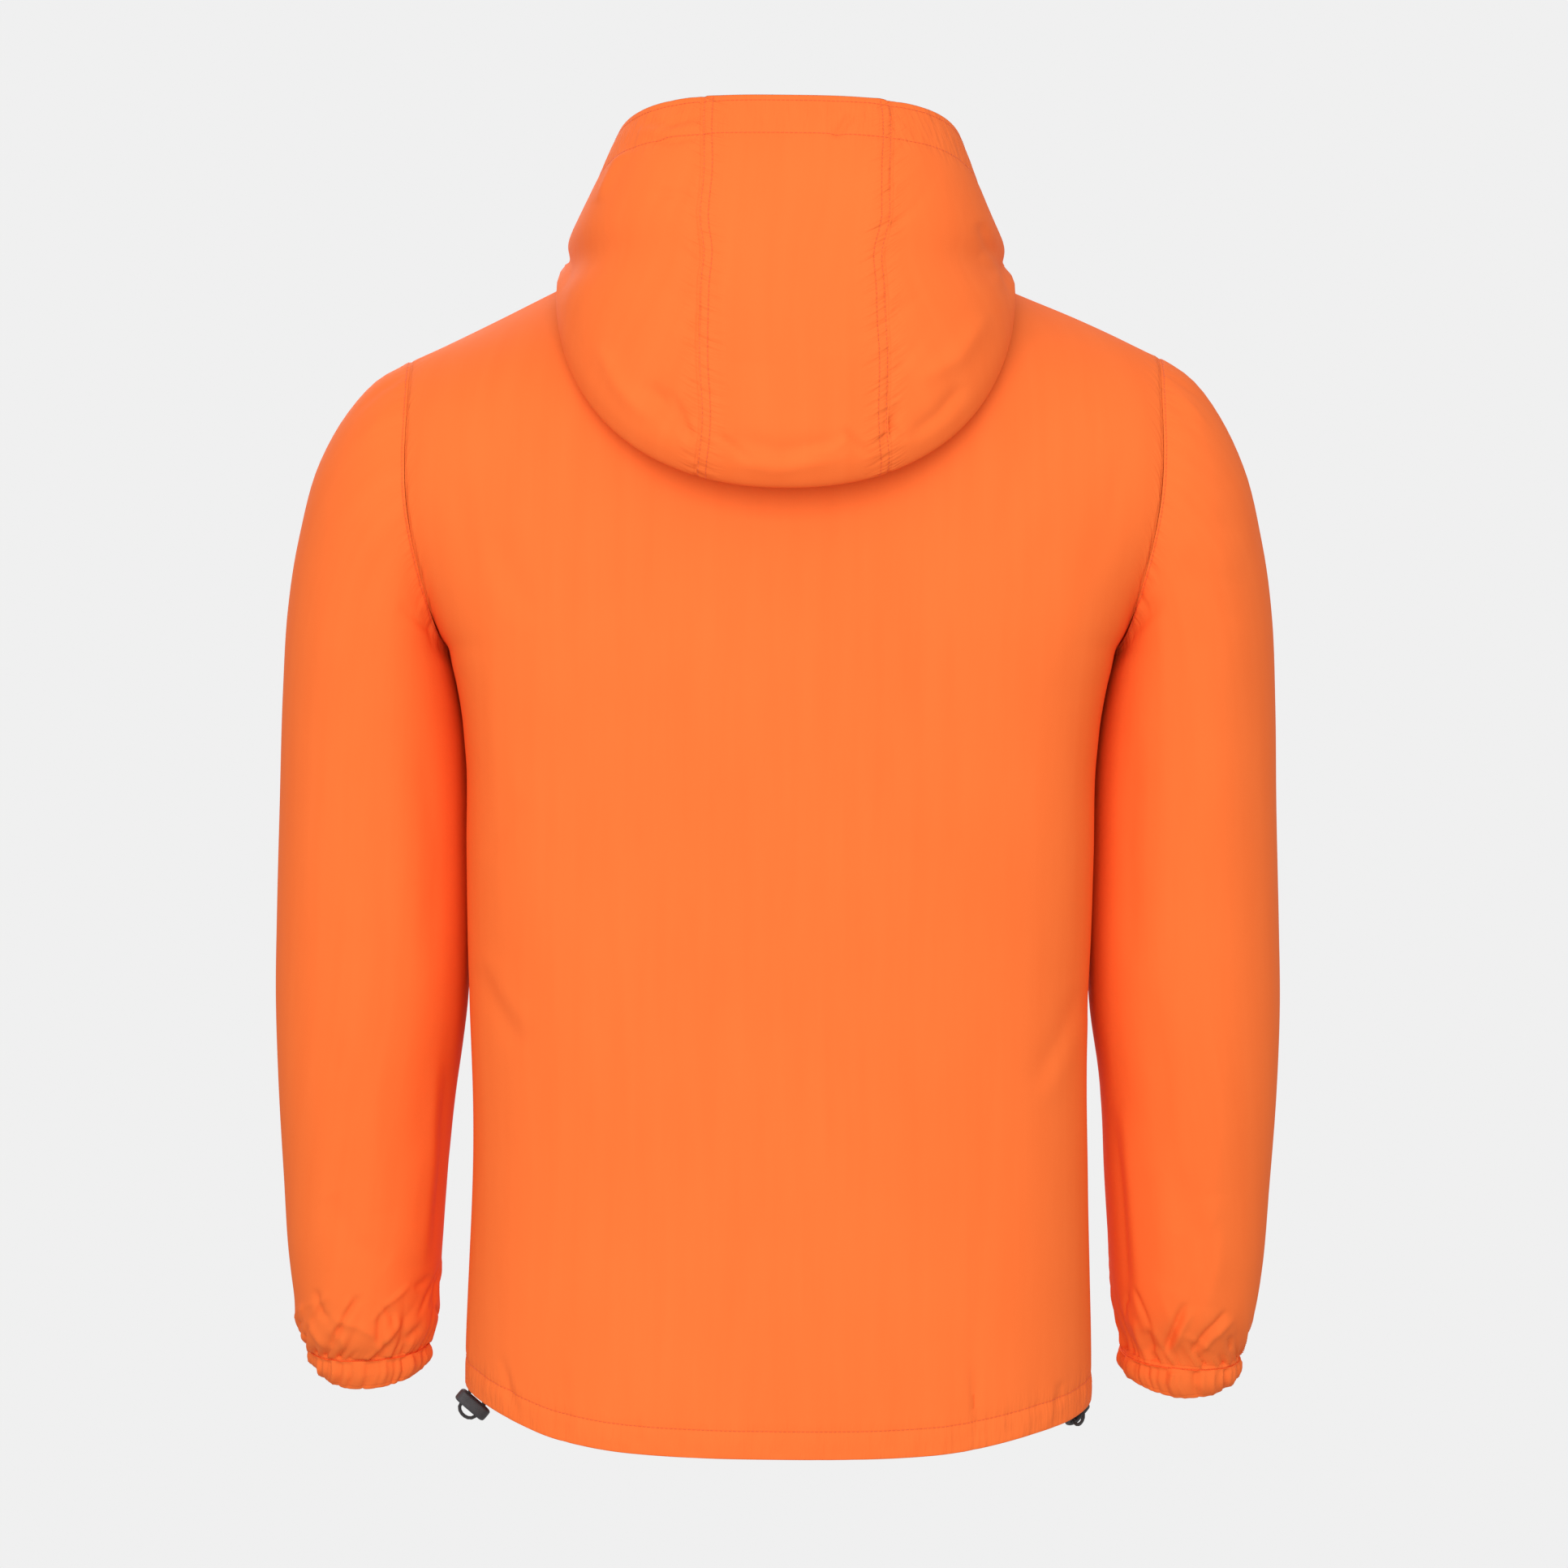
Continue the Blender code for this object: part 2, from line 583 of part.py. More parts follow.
def build_slider():
    """Two plates joined by the wedge between the tapes, with the bridge that carries the tab."""
    w, half = SLIDER_HALF_WIDTH, SLIDER_LENGTH / 2
    outside = NECK_FRONT - CHAIN_PROUD - SLIDER_CLEARANCE
    inside = NECK_FRONT + TAPE_DEPTH + TAPE + SLIDER_CLEARANCE
    face = outside - SLIDER_PLATE
    b, reach, bar = BRIDGE_HALF_WIDTH, BRIDGE_HALF_LENGTH, BRIDGE_BAR
    top = face - BRIDGE_ROOM
    wedge = TAPE_EDGE - SLIDER_CLEARANCE
    bite = 0.0001  # how far the blocks run into each other, so that they join
    corners = [
        ((-w, face, -half), (w, outside, half)),
        ((-w, inside, -half), (w, inside + SLIDER_PLATE, half)),
        ((-wedge, outside - bite, SLIDER_CLEARANCE), (wedge, inside + bite, half - 0.001)),
        ((-b, top, -reach), (b, face + bite, -reach + bar)),
        ((-b, top, reach - bar), (b, face + bite, reach)),
        ((-b, top - bar, -reach), (b, top + bite, reach)),
    ]
    slider = None
    for number, (low, high) in enumerate(corners):
        low = (low[0], low[1], low[2] + SLIDER_Z)
        high = (high[0], high[1], high[2] + SLIDER_Z)
        mesh = block_mesh(f"slider_block_{number}", low, high)
        if slider is None:
            slider = add_object("zip_slider", mesh, "zip_metal")
            continue
        guide = bpy.data.objects.new(f"slider_block_{number}", mesh)
        bpy.context.scene.collection.objects.link(guide)
        guide.hide_render = True
        guide.display_type = "WIRE"
        joint = slider.modifiers.new(f"join_{number}", "BOOLEAN")
        joint.operation = "UNION"
        joint.solver = "EXACT"
        joint.object = guide


def outline(half_width, top, bottom, squareness, count=20):
    """Rounded outline round x = 0, in the plane of the tab."""
    middle, radius = (top + bottom) / 2, (top - bottom) / 2
    points = []
    for k in range(count):
        angle = 2 * math.pi * (k + 0.5) / count
        x = half_width * power(math.sin(angle), 2 / squareness)
        points.append((x, middle + radius * power(math.cos(angle), 2 / squareness)))
    return points


def build_tab():
    """Pull tab with the hole that the bridge passes through, hanging from its bar."""
    outer = outline(TAB_HALF_WIDTH, TAB_BAR, -TAB_LENGTH, 5.0)
    hole = outline(TAB_HALF_WIDTH - TAB_ARM, -TAB_BAR, -TAB_HOLE, 6.0)
    half = TAB_THICKNESS / 2
    loops = []
    for points, y in ((outer, -half), (outer, half), (hole, half), (hole, -half)):
        loops.append([Vector((x, y, z)) for x, z in points])
    tab = ring_solid("zip_pull_tab", loops, "zip_metal")
    tab.location = pivot()


# Hem cord


def toggle_frame(side):
    """Matrix from a stopper's own frame (x along it, z along its slot) to the garment's."""
    sign = 1.0 if side == "left" else -1.0
    lean = Matrix.Rotation(-sign * TOGGLE_LEAN, 4, "Y")
    turn = Matrix.Rotation(sign * TOGGLE_TURNS[side], 4, "Z")
    flip = Matrix.Scale(-1.0, 4, Vector((1.0, 0.0, 0.0))) if sign > 0 else Matrix.Identity(4)
    centre = Vector((sign * TOGGLE_CENTRE.x, TOGGLE_CENTRE.y, TOGGLE_CENTRE.z))
    return Matrix.Translation(centre) @ turn @ lean @ flip


def build_toggle(side):
    """Oblong stopper with a slot through it, rounded like a bean."""
    count = 24
    to_world = toggle_frame(side)

    def loop(length, width, height, squareness):
        points = []
        for k in range(count):
            angle = 2 * math.pi * k / count
            x = length / 2 * power(math.cos(angle), 2 / squareness)
            y = width / 2 * power(math.sin(angle), 2 / squareness)
            points.append(to_world @ Vector((x, y, height)))
        return points

    loops = []
    for share in (-1.0, -0.72, 0.0, 0.72, 1.0):
        swell = 1.0 - 0.17 * abs(share) ** 3
        loops.append(loop(TOGGLE_LENGTH * swell, TOGGLE_WIDTH * swell, share * TOGGLE_DEPTH / 2, 2.4))
    for share in (1.0, 0.0, -1.0):
        loops.append(loop(TOGGLE_SLOT_LENGTH, TOGGLE_SLOT_WIDTH, share * TOGGLE_DEPTH / 2, 4.0))
    ring_solid(f"toggle_{side}", loops, "toggle")


def cord_route(side):
    """Points of the elastic loop: from inside the hem, through the stopper and back."""
    sign = 1.0 if side == "left" else -1.0
    frame = toggle_frame(side)
    low, high = -TOGGLE_DEPTH / 2, TOGGLE_DEPTH / 2
    near_y, far_y = CORD_END_Y[side]
    near_end = [
        Vector((sign * 0.1880, near_y, -0.6600)),
        Vector((sign * 0.1878, mix(near_y, TOGGLE_CENTRE.y, 0.3), -0.6710)),
    ]
    far_end = [
        Vector((sign * 0.1815, mix(far_y, TOGGLE_CENTRE.y, 0.5), -0.6800)),
        Vector((sign * 0.1862, mix(far_y, TOGGLE_CENTRE.y, 0.2), -0.6700)),
        Vector((sign * 0.1880, far_y, -0.6600)),
    ]
    loop = [
        (-STRAND, high), (-STRAND, 0.0), (-STRAND, low), (-0.92 * STRAND, low - 0.0020),
        (-0.55 * STRAND, low - 0.0040), (0.0, low - 0.0047), (0.55 * STRAND, low - 0.0040),
        (0.92 * STRAND, low - 0.0020), (STRAND, low), (STRAND, 0.0), (STRAND, high),
    ]
    return near_end + [frame @ Vector((x, 0.0, z)) for x, z in loop] + far_end


def smooth_route(points, step):
    """Points at even steps on a smooth curve through a route's points."""
    ends = [points[0] * 2 - points[1]] + points + [points[-1] * 2 - points[-2]]
    dense = []
    for a, b, c, d in zip(ends, ends[1:], ends[2:], ends[3:]):
        for k in range(12):
            u = k / 12
            cubic = 2 * b + (c - a) * u + (2 * a - 5 * b + 4 * c - d) * u**2 + (3 * b - a - 3 * c + d) * u**3
            dense.append(cubic / 2)
    dense.append(points[-1])
    spaced = [dense[0]]
    for point in dense[1:-1]:
        if (point - spaced[-1]).length >= step:
            spaced.append(point)
    spaced.append(dense[-1])
    return spaced


def build_cord(side):
    """Short stretch of the hem's elastic cord that comes out and carries its stopper."""
    points = smooth_route(cord_route(side), CORD_DIAMETER)
    curve = bpy.data.curves.new(f"hem_cord_{side}", "CURVE")
    curve.dimensions = "3D"
    curve.bevel_depth = CORD_DIAMETER / 2
    curve.bevel_resolution = 2
    curve.use_fill_caps = True
    spline = curve.splines.new("POLY")
    spline.points.add(len(points) - 1)
    for point, place in zip(spline.points, points):
        point.co = (*place, 1.0)
    made = bpy.data.objects.new(f"hem_cord_{side}", curve)
    bpy.context.scene.collection.objects.link(made)
    curve.materials.append(material("cord"))


def main():
    for old in list(bpy.data.objects):
        bpy.data.objects.remove(old, do_unlink=True)
    build_back()
    build_fronts()
    build_sleeves()
    build_cuffs()
    build_hood()
    build_zip()
    for side in ("left", "right"):
        build_toggle(side)
        build_cord(side)


main()
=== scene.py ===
"""Studio scene of a hooded windbreaker, filled out as worn with nobody in it.

Metres, +Z up, the front faces -Y and the wearer's left is +X. Every cloth panel is a thin shell laid on the form
that its solid has, with its folds pressed in along the surface normals, its edges turned under and its seams
stitched.
"""

import sys
import logging
import math
from dataclasses import dataclass, field, replace
from enum import Enum

import bmesh
import bpy
import numpy as np
from mathutils import Matrix, Vector


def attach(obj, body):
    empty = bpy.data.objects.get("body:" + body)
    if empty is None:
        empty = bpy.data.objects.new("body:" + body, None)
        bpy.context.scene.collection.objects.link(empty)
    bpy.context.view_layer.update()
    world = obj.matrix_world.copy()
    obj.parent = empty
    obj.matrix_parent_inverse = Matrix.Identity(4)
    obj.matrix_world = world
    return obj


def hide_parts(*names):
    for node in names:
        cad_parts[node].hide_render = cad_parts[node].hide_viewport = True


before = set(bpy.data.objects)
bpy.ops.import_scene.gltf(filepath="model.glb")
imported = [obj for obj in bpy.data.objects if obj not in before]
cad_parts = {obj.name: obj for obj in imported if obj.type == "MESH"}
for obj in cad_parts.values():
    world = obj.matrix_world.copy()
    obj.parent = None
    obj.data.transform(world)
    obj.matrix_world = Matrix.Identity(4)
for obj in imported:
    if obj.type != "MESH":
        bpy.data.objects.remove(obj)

LOG = logging.getLogger("windbreaker")
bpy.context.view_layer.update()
Rows = tuple[tuple[float, ...], ...]
Colour = tuple[float, float, float]
Triple = tuple[float, float, float]
MM = 1000.0  # in a metre
Array = np.ndarray
Piece = bpy.types.Object
Material = bpy.types.Material
Socket = bpy.types.NodeSocket
Lines = list[tuple[Array, Array]]


class Face(Enum):
    """Which half of the garment a panel covers, as the sign of its Y."""

    BACK = 1.0
    FRONT = -1.0


class Side(Enum):
    """Side of the wearer, as the sign of its X."""

    LEFT = 1.0
    RIGHT = -1.0

    @property
    def word(self) -> str:
        """Name of the side as the CAD nodes have it."""
        return self.name.lower()


class Edge(Enum):
    """Edge of a panel, as seen from outside."""

    LEFT = "left"
    RIGHT = "right"
    BOTTOM = "bottom"
    TOP = "top"


BOTH_SIDES = (Edge.LEFT, Edge.RIGHT)


class Body(Enum):
    """CAD bodies that the pieces ride on."""

    JACKET = "jacket"
    TAB = "pull_tab"


class Slot(Enum):
    """Material slots of the record."""

    SHELL = "shell"
    TAPE = "zip_tape"
    CHAIN = "zip_chain"
    METAL = "zip_metal"
    TOGGLE = "toggle"
    CORD = "cord"


# ---- Form of the garment ----

HEM_SIDE, HEM_BACK, HEM_FRONT, HEM_BEND = -0.677, -0.703, -0.688, 1.5
ARMPIT, SHOULDER_TIP = -0.222, -0.045
ARMHOLE_BACK, ARMHOLE_FRONT = 0.084, 0.078
UPPER_BACK, UPPER_FRONT, TOP_SQUARENESS = 0.122, 0.120, 2.6
NECK_SHARE, CENTRE_BEND, NECK_BEND = 5 / 12, 2.2, 1.7
NECK_FRONT = -0.088
SLEEVE_SQUARENESS, CAP_FADE = 2.2, 0.25
ZIP_EDGE = 0.006

# Height, half width, depth behind and before the side seams, squareness
BODY: Rows = (
    (-0.705, 0.192, 0.126, 0.122, 2.6), (-0.65, 0.192, 0.125, 0.122, 2.6), (-0.6, 0.1905, 0.123, 0.121, 2.6),
    (-0.55, 0.189, 0.12, 0.119, 2.6), (-0.5, 0.1885, 0.118, 0.118, 2.6), (-0.43, 0.19, 0.118, 0.119, 2.7),
    (-0.35, 0.1915, 0.121, 0.121, 2.9), (-0.28, 0.1935, 0.124, 0.123, 3.2), (-0.247, 0.1975, 0.125, 0.123, 3.4),
    (-0.222, 0.203, 0.126, 0.123, 3.6),
)

# Share of the way from the shoulder tip to the armpit, distance from the centre
ARMHOLE: Rows = ((0.00, 0.2300), (0.25, 0.2280), (0.50, 0.2265), (0.75, 0.2140), (1.00, 0.2030))

# Place, outer x and z, inner x and z, belly, middle y, depth behind and before it, tilt
SLEEVE: Rows = (
    (0.0, 0.23, -0.045, 0.2035, -0.222, 0.0105, 0.0, 0.084, 0.078, 0.0),
    (0.04, 0.2505, -0.057, 0.2045, -0.2255, 0.01, 0.0, 0.084, 0.0785, 0.0),
    (0.08, 0.268, -0.077, 0.204, -0.2305, 0.0085, -0.001, 0.083, 0.0785, 0.0),
    (0.13, 0.2845, -0.107, 0.202, -0.238, 0.007, -0.004, 0.0815, 0.078, 0.0),
    (0.2, 0.297, -0.152, 0.1995, -0.25, 0.005, -0.009, 0.08, 0.0775, 0.0),
    (0.28, 0.305, -0.2, 0.1965, -0.267, 0.003, -0.015, 0.0785, 0.0765, 0.0),
    (0.36, 0.3085, -0.25, 0.194, -0.294, 0.001, -0.021, 0.0765, 0.0755, 0.01),
    (0.47, 0.3105, -0.32, 0.1928, -0.345, 0.0, -0.026, 0.0745, 0.074, 0.03),
    (0.57, 0.312, -0.388, 0.1922, -0.398, 0.0, -0.03, 0.0715, 0.0715, 0.07),
    (0.66, 0.3125, -0.442, 0.1938, -0.442, 0.0, -0.034, 0.069, 0.069, 0.1),
    (0.74, 0.3105, -0.497, 0.2005, -0.492, 0.0, -0.038, 0.065, 0.065, 0.12),
    (0.82, 0.3075, -0.549, 0.2043, -0.543, 0.0, -0.043, 0.0605, 0.0605, 0.13),
    (0.9, 0.3041, -0.601, 0.2083, -0.593, 0.0, -0.048, 0.056, 0.055, 0.14),
    (0.96, 0.299, -0.636, 0.212, -0.63, 0.0, -0.052, 0.051, 0.049, 0.15),
    (0.98, 0.2965, -0.649, 0.2138, -0.644, 0.0, -0.054, 0.046, 0.044, 0.16),
    (1.0, 0.2915, -0.66, 0.2165, -0.656, 0.0, -0.055, 0.04, 0.0385, 0.16),
)
CUFF: Rows = (
    (0.0, 0.2918, -0.6603, 0.2162, -0.6563, 0.0, -0.055, 0.0403, 0.0388, 0.16),
    (0.5, 0.2905, -0.67, 0.2162, -0.665, 0.0, -0.057, 0.04, 0.0385, 0.16),
    (1.0, 0.285, -0.6797, 0.218, -0.6737, 0.0, -0.058, 0.0365, 0.0355, 0.16),
)

# Place, back y and z, side x, y and z, front z, squareness, plan, droop, front droop
HOOD: Rows = (
    (0.0, 0.072, 0.0, 0.1, 0.0, 0.018, -0.065, 2.0, 2.0, 1.0, 1.5),
    (0.04, 0.08, 0.011, 0.104, -0.001, 0.025, -0.061, 2.0, 2.4, 1.0, 1.8),
    (0.1, 0.092, 0.004, 0.112, 0.0, 0.024, -0.057, 2.1, 3.2, 1.0, 2.2),
    (0.2, 0.109, -0.03, 0.121, 0.001, 0.019, -0.053, 2.2, 4.2, 0.95, 2.6),
    (0.3, 0.125, -0.07, 0.13, 0.002, 0.014, -0.048, 2.25, 5.0, 0.9, 2.8),
    (0.38, 0.1345, -0.105, 0.1362, 0.003, 0.0095, -0.044, 2.25, 5.2, 0.86, 2.9),
    (0.43, 0.143, -0.126, 0.1382, 0.004, 0.0075, -0.041, 2.2, 5.0, 0.83, 3.0),
    (0.47, 0.1535, -0.1315, 0.1392, 0.005, 0.0085, -0.039, 2.2, 4.8, 0.82, 3.0),
    (0.51, 0.163, -0.123, 0.139, 0.006, 0.0115, -0.037, 2.2, 4.6, 0.82, 3.0),
    (0.6, 0.171, -0.085, 0.1376, 0.008, 0.018, -0.032, 2.35, 4.2, 0.82, 2.8),
    (0.7, 0.174, -0.035, 0.1345, 0.01, 0.027, -0.027, 2.4, 3.8, 0.78, 2.5),
    (0.8, 0.17, 0.015, 0.1285, 0.013, 0.037, -0.022, 2.6, 3.4, 0.7, 2.2),
    (0.9, 0.158, 0.06, 0.119, 0.016, 0.047, -0.017, 2.8, 3.2, 0.55, 1.9),
    (1.0, 0.132, 0.101, 0.1065, 0.02, 0.055, -0.012, 3.0, 3.0, 0.36, 1.7),
)


def mix(a: Array, b: Array, share: Array) -> Array:
    """Value between two values."""
    return a + (b - a) * share


def power(value: Array, exponent: Array) -> Array:
    """Power that keeps the sign of its base."""
    return np.sign(value) * np.abs(value) ** exponent


def ease(value: Array, low: float, high: float) -> Array:
    """Smooth step from 0 at low to 1 at high, where high may be the lesser of the two."""
    t = np.clip((np.asarray(value, float) - low) / (high - low), 0.0, 1.0)
    return t * t * (3 - 2 * t)


def along(rows: Rows, places: Array) -> list[Array]:
    """Columns of a table on a smooth cubic through its rows.

    Args:
        rows: table whose first column is the place.
        places: places to read it at, of any shape.

    Returns:
        One array for each column, shaped as the places.
    """
    table = np.array(rows, float)
    keys = table[:, 0]
    places = np.asarray(places, float)
    slopes = np.gradient(table, keys, axis=0)
    k = np.clip(np.searchsorted(keys, places) - 1, 0, len(keys) - 2)
    step = (keys[k + 1] - keys[k])[..., None]
    u = np.clip((places - keys[k])[..., None] / step, 0.0, 1.0)
    value = (
        (2 * u**3 - 3 * u**2 + 1) * table[k]
        + (u**3 - 2 * u**2 + u) * step * slopes[k]
        + (3 * u**2 - 2 * u**3) * table[k + 1]
        + (u**3 - u**2) * step * slopes[k + 1]
    )
    return list(np.moveaxis(value, -1, 0))


def stack(x: Array, y: Array, z: Array) -> Array:
    """Points from their three coordinates, broadcast together."""
    return np.stack(np.broadcast_arrays(x, y, z), axis=-1)


def mirrored(grid: Array) -> Array:
    """Grid on the other side of the centre line, its columns still left to right from outside."""
    return grid[:, ::-1] * np.array([-1.0, 1.0, 1.0])


def swell(distance: Array, middle: float, reach: float) -> Array:
    """Rounded rise of 1 at the middle, which fades over the reach."""
    return np.exp(-(((distance - middle) / reach) ** 2))


def span_mm(lengths: Array) -> tuple[float, float]:
    """Least and greatest of some lengths, in millimetres."""
    return lengths.min() * MM, lengths.max() * MM


def point_at(run: Array, points: Array, place: float) -> Array:
    """Point at a length along a line whose points lie at the lengths of its run."""
    return np.array([np.interp(place, run, column) for column in points.T])


def oval_depth(share: Array, squareness: Array) -> Array:
    """Depth of an oval where a point stands at this share of its half width."""
    return np.maximum(1.0 - np.minimum(share, 1.0) ** squareness, 0.0) ** (1.0 / squareness)


def hood_points(place: Array, angle: Array) -> Array:
    """Points of the hood.

    Args:
        place: share of the way from the neck seam over the pouch to the opening's edge.
        angle: 0 at the centre back, a half turn at the centre front.

    Returns:
        Points, shaped as the two broadcast together.
    """
    _, back_y, back_z, side_x, side_y, side_z, front_z, square, plan, droop, front_droop = along(HOOD, place)
    s, c = np.sin(angle), np.cos(angle)
    behind = c >= 0
    x = side_x * power(s, 2 / square)
    y = mix(side_y, np.where(behind, back_y, NECK_FRONT), np.abs(c) ** (2 / np.where(behind, plan, square)))
    z = mix(side_z, np.where(behind, back_z, front_z), np.abs(c) ** np.where(behind, droop, front_droop))
    return stack(x, y, z)


def hood_angle(place: Array, x: Array, front: bool = False) -> Array:
    """Angle at which the hood stands x from the centre line, behind or before its sides.

    Args:
        place: place of the row.
        x: distance from the centre line.
        front: whether before the sides.

    Returns:
        The angle.
    """
    side_x, square = (along(HOOD, place)[column] for column in (3, 7))
    angle = np.arcsin(np.minimum((x / side_x) ** (square / 2), 1.0))
    return math.pi - angle if front else angle


def armhole_points(angle: Array, face: float) -> Array:
    """Points of the armhole's edge, from angle 0 at the shoulder tip to a half turn at the armpit.

    Args:
        angle: 0 at the shoulder tip, a half turn at the armpit.
        face: +1 behind, -1 before.

    Returns:
        The points.
    """
    reach = ARMHOLE_BACK if face > 0 else ARMHOLE_FRONT
    _, x = along(ARMHOLE, angle / math.pi)
    middle, radius = (SHOULDER_TIP + ARMPIT) / 2, (SHOULDER_TIP - ARMPIT) / 2
    return stack(x, face * reach * np.sin(angle), middle + radius * np.cos(angle))


def lower_torso(across: Array, level: Array, face: float, edge: float) -> Array:
    """Points between the hem, level 0, and the armpits, level 1.

    Args:
        across: shares of the way to the side.
        level: 0 to 1.
        face: +1 behind, -1 before.
        edge: distance of the first column from the centre line.

    Returns:
        The points.
    """
    _, width, back, front, square = along(BODY, mix(HEM_SIDE, ARMPIT, level))
    depth = back if face > 0 else front
    x = mix(edge, width, np.sin(across * math.pi / 2))
    share = oval_depth(x / width, square)
    hem = mix(HEM_SIDE, HEM_BACK if face > 0 else HEM_FRONT, share**HEM_BEND)
    return stack(x, face * depth * share, mix(hem, ARMPIT, level))


def upper_torso(across: Array, level: Array, face: float, edge: float) -> Array:
    """Points between the armpits, level 1, and the neck and shoulder seams, level 2.

    Args:
        across: shares of the way to the side.
        level: 1 to 2.
        face: +1 behind, -1 before.
        edge: distance of the first column from the centre line.

    Returns:
        The points.
    """
    angle = math.pi * (2.0 - level)
    rise = (1.0 + np.cos(angle)) / 2
    side = armhole_points(angle, face)[..., 0]
    _, _, back, front, low_square = along(BODY, np.array(ARMPIT))
    depth = mix(back, UPPER_BACK, rise) if face > 0 else mix(front, UPPER_FRONT, rise)
    early = angle < math.pi / 2
    closing = np.where(early, np.maximum(np.sin(angle), 0.0), 1.0)
    reach = (ARMHOLE_BACK if face > 0 else ARMHOLE_FRONT) / depth * np.where(early, 1.0, np.sin(angle))
    square = mix(low_square, TOP_SQUARENESS, np.sin(rise * math.pi / 2))
    width = side / oval_depth(reach, square)
    neck_width, neck_z, tip_x = HOOD[0][3], HOOD[0][5], ARMHOLE[0][1]
    neck_x = mix(edge, neck_width, np.sin(np.minimum(across / NECK_SHARE, 1.0) * math.pi / 2))
    neck = hood_points(np.zeros_like(neck_x), hood_angle(np.zeros_like(neck_x), neck_x, face < 0))
    seam = np.clip((across - NECK_SHARE) / (1 - NECK_SHARE), 0.0, 1.0)
    in_neck = across < NECK_SHARE
    top_x = np.where(in_neck, neck_x, mix(neck_width, tip_x, seam))
    top_y = np.where(in_neck, np.abs(neck[..., 1]), 0.0)
    top_z = np.where(in_neck, neck[..., 2], mix(neck_z, SHOULDER_TIP, seam))
    bend = np.where(in_neck, mix(CENTRE_BEND, NECK_BEND, neck_x / neck_width), mix(NECK_BEND, 1.0, seam))
    low_share = mix(edge / side, 1.0, np.sin(across * math.pi / 2))
    x = side * mix(low_share, top_x / tip_x, rise**2)
    full = depth * oval_depth(x / width, square)
    y = top_y + (full - top_y) * closing**bend
    return stack(x, face * y, mix(ARMPIT, top_z, rise))


def torso_points(across: Array, level: Array, face: float, edge: float = 0.0) -> Array:
    """Grid of torso points.

    Args:
        across: shares of the way from the centre or zip edge to the side.
        level: 0 at the hem, 1 at the armpits, 2 at the top, rising.
        face: +1 behind, -1 before.
        edge: distance of the first column from the centre line.

    Returns:
        Points in rows of one level each.
    """
    low, high = level[level <= 1.0, None], level[level > 1.0, None]
    return np.concatenate([lower_torso(across[None], low, face, edge), upper_torso(across[None], high, face, edge)])


def ring_points(row: list[Array], angle: Array) -> Array:
    """Points of a sleeve's rings: angle 0 outside, a quarter turn behind, a half turn inside.

    Args:
        row: the ring's sizes, as the columns of SLEEVE.
        angle: 0 outside, a quarter turn behind, a half turn inside.

    Returns:
        The points.
    """
    _, outer_x, outer_z, inner_x, inner_z, belly, middle_y, back, front, tilt = row
    s, c = np.sin(angle), np.cos(angle)
    round_c, round_s = power(c, 2 / SLEEVE_SQUARENESS), power(s, 2 / SLEEVE_SQUARENESS)
    x = (outer_x + inner_x) / 2 + (outer_x - inner_x) / 2 * round_c + belly * np.abs(s)
    off = round_s * np.where(s >= 0, back, front)
    z = (outer_z + inner_z) / 2 + (outer_z - inner_z) / 2 * round_c - off * tilt
    return stack(x, middle_y + off, z)


def sleeve_points(place: Array, angle: Array, gap: float) -> Array:
    """Points of the left sleeve, whose first ring is the armhole's edge moved out by a gap.

    Args:
        place: 0 at the armhole, 1 at the wrist.
        angle: as in a ring.
        gap: how far the first ring stands off the armhole.

    Returns:
        The points.
    """
    turn = np.arccos(np.clip(np.cos(angle), -1.0, 1.0))
    behind = armhole_points(turn, 1.0)
    before = armhole_points(turn, -1.0)
    edge = np.where((np.sin(angle) >= 0)[..., None], behind, before) + np.array([gap, 0.0, 0.0])
    first = ring_points(along(SLEEVE, np.zeros_like(angle)), angle)
    fade = np.maximum(1.0 - place / CAP_FADE, 0.0) ** 2
    return ring_points(along(SLEEVE, place), angle) + (edge - first) * fade[..., None]


# Height, and how far the torso and the sleeve each lean to the other below the armpit
NUDGE: Rows = (
    (-0.43, 0.0), (-0.4, 0.0005), (-0.32, 0.00045), (-0.294, 0.00045), (-0.28, 0.0008),
    (-0.267, 0.00085), (-0.245, 0.0013), (-0.232, 0.00135), (-0.2225, 0.0),
)


def nestled(points: Array, outwards: float) -> Array:
    """Points moved to where the torso's side and the sleeve's inner side touch, outwards (+1) or inwards (-1).

    Args:
        points: the points.
        outwards: +1 for the torso, -1 for a sleeve.

    Returns:
        The moved points.
    """
    x, z = points[..., 0], points[..., 2]
    near = ease(np.abs(x), 0.165, 0.190) if outwards > 0 else ease(np.abs(x), 0.228, 0.204)
    moved = points.copy()
    moved[..., 0] += np.sign(x) * outwards * along(NUDGE, z)[1] * near
    return moved


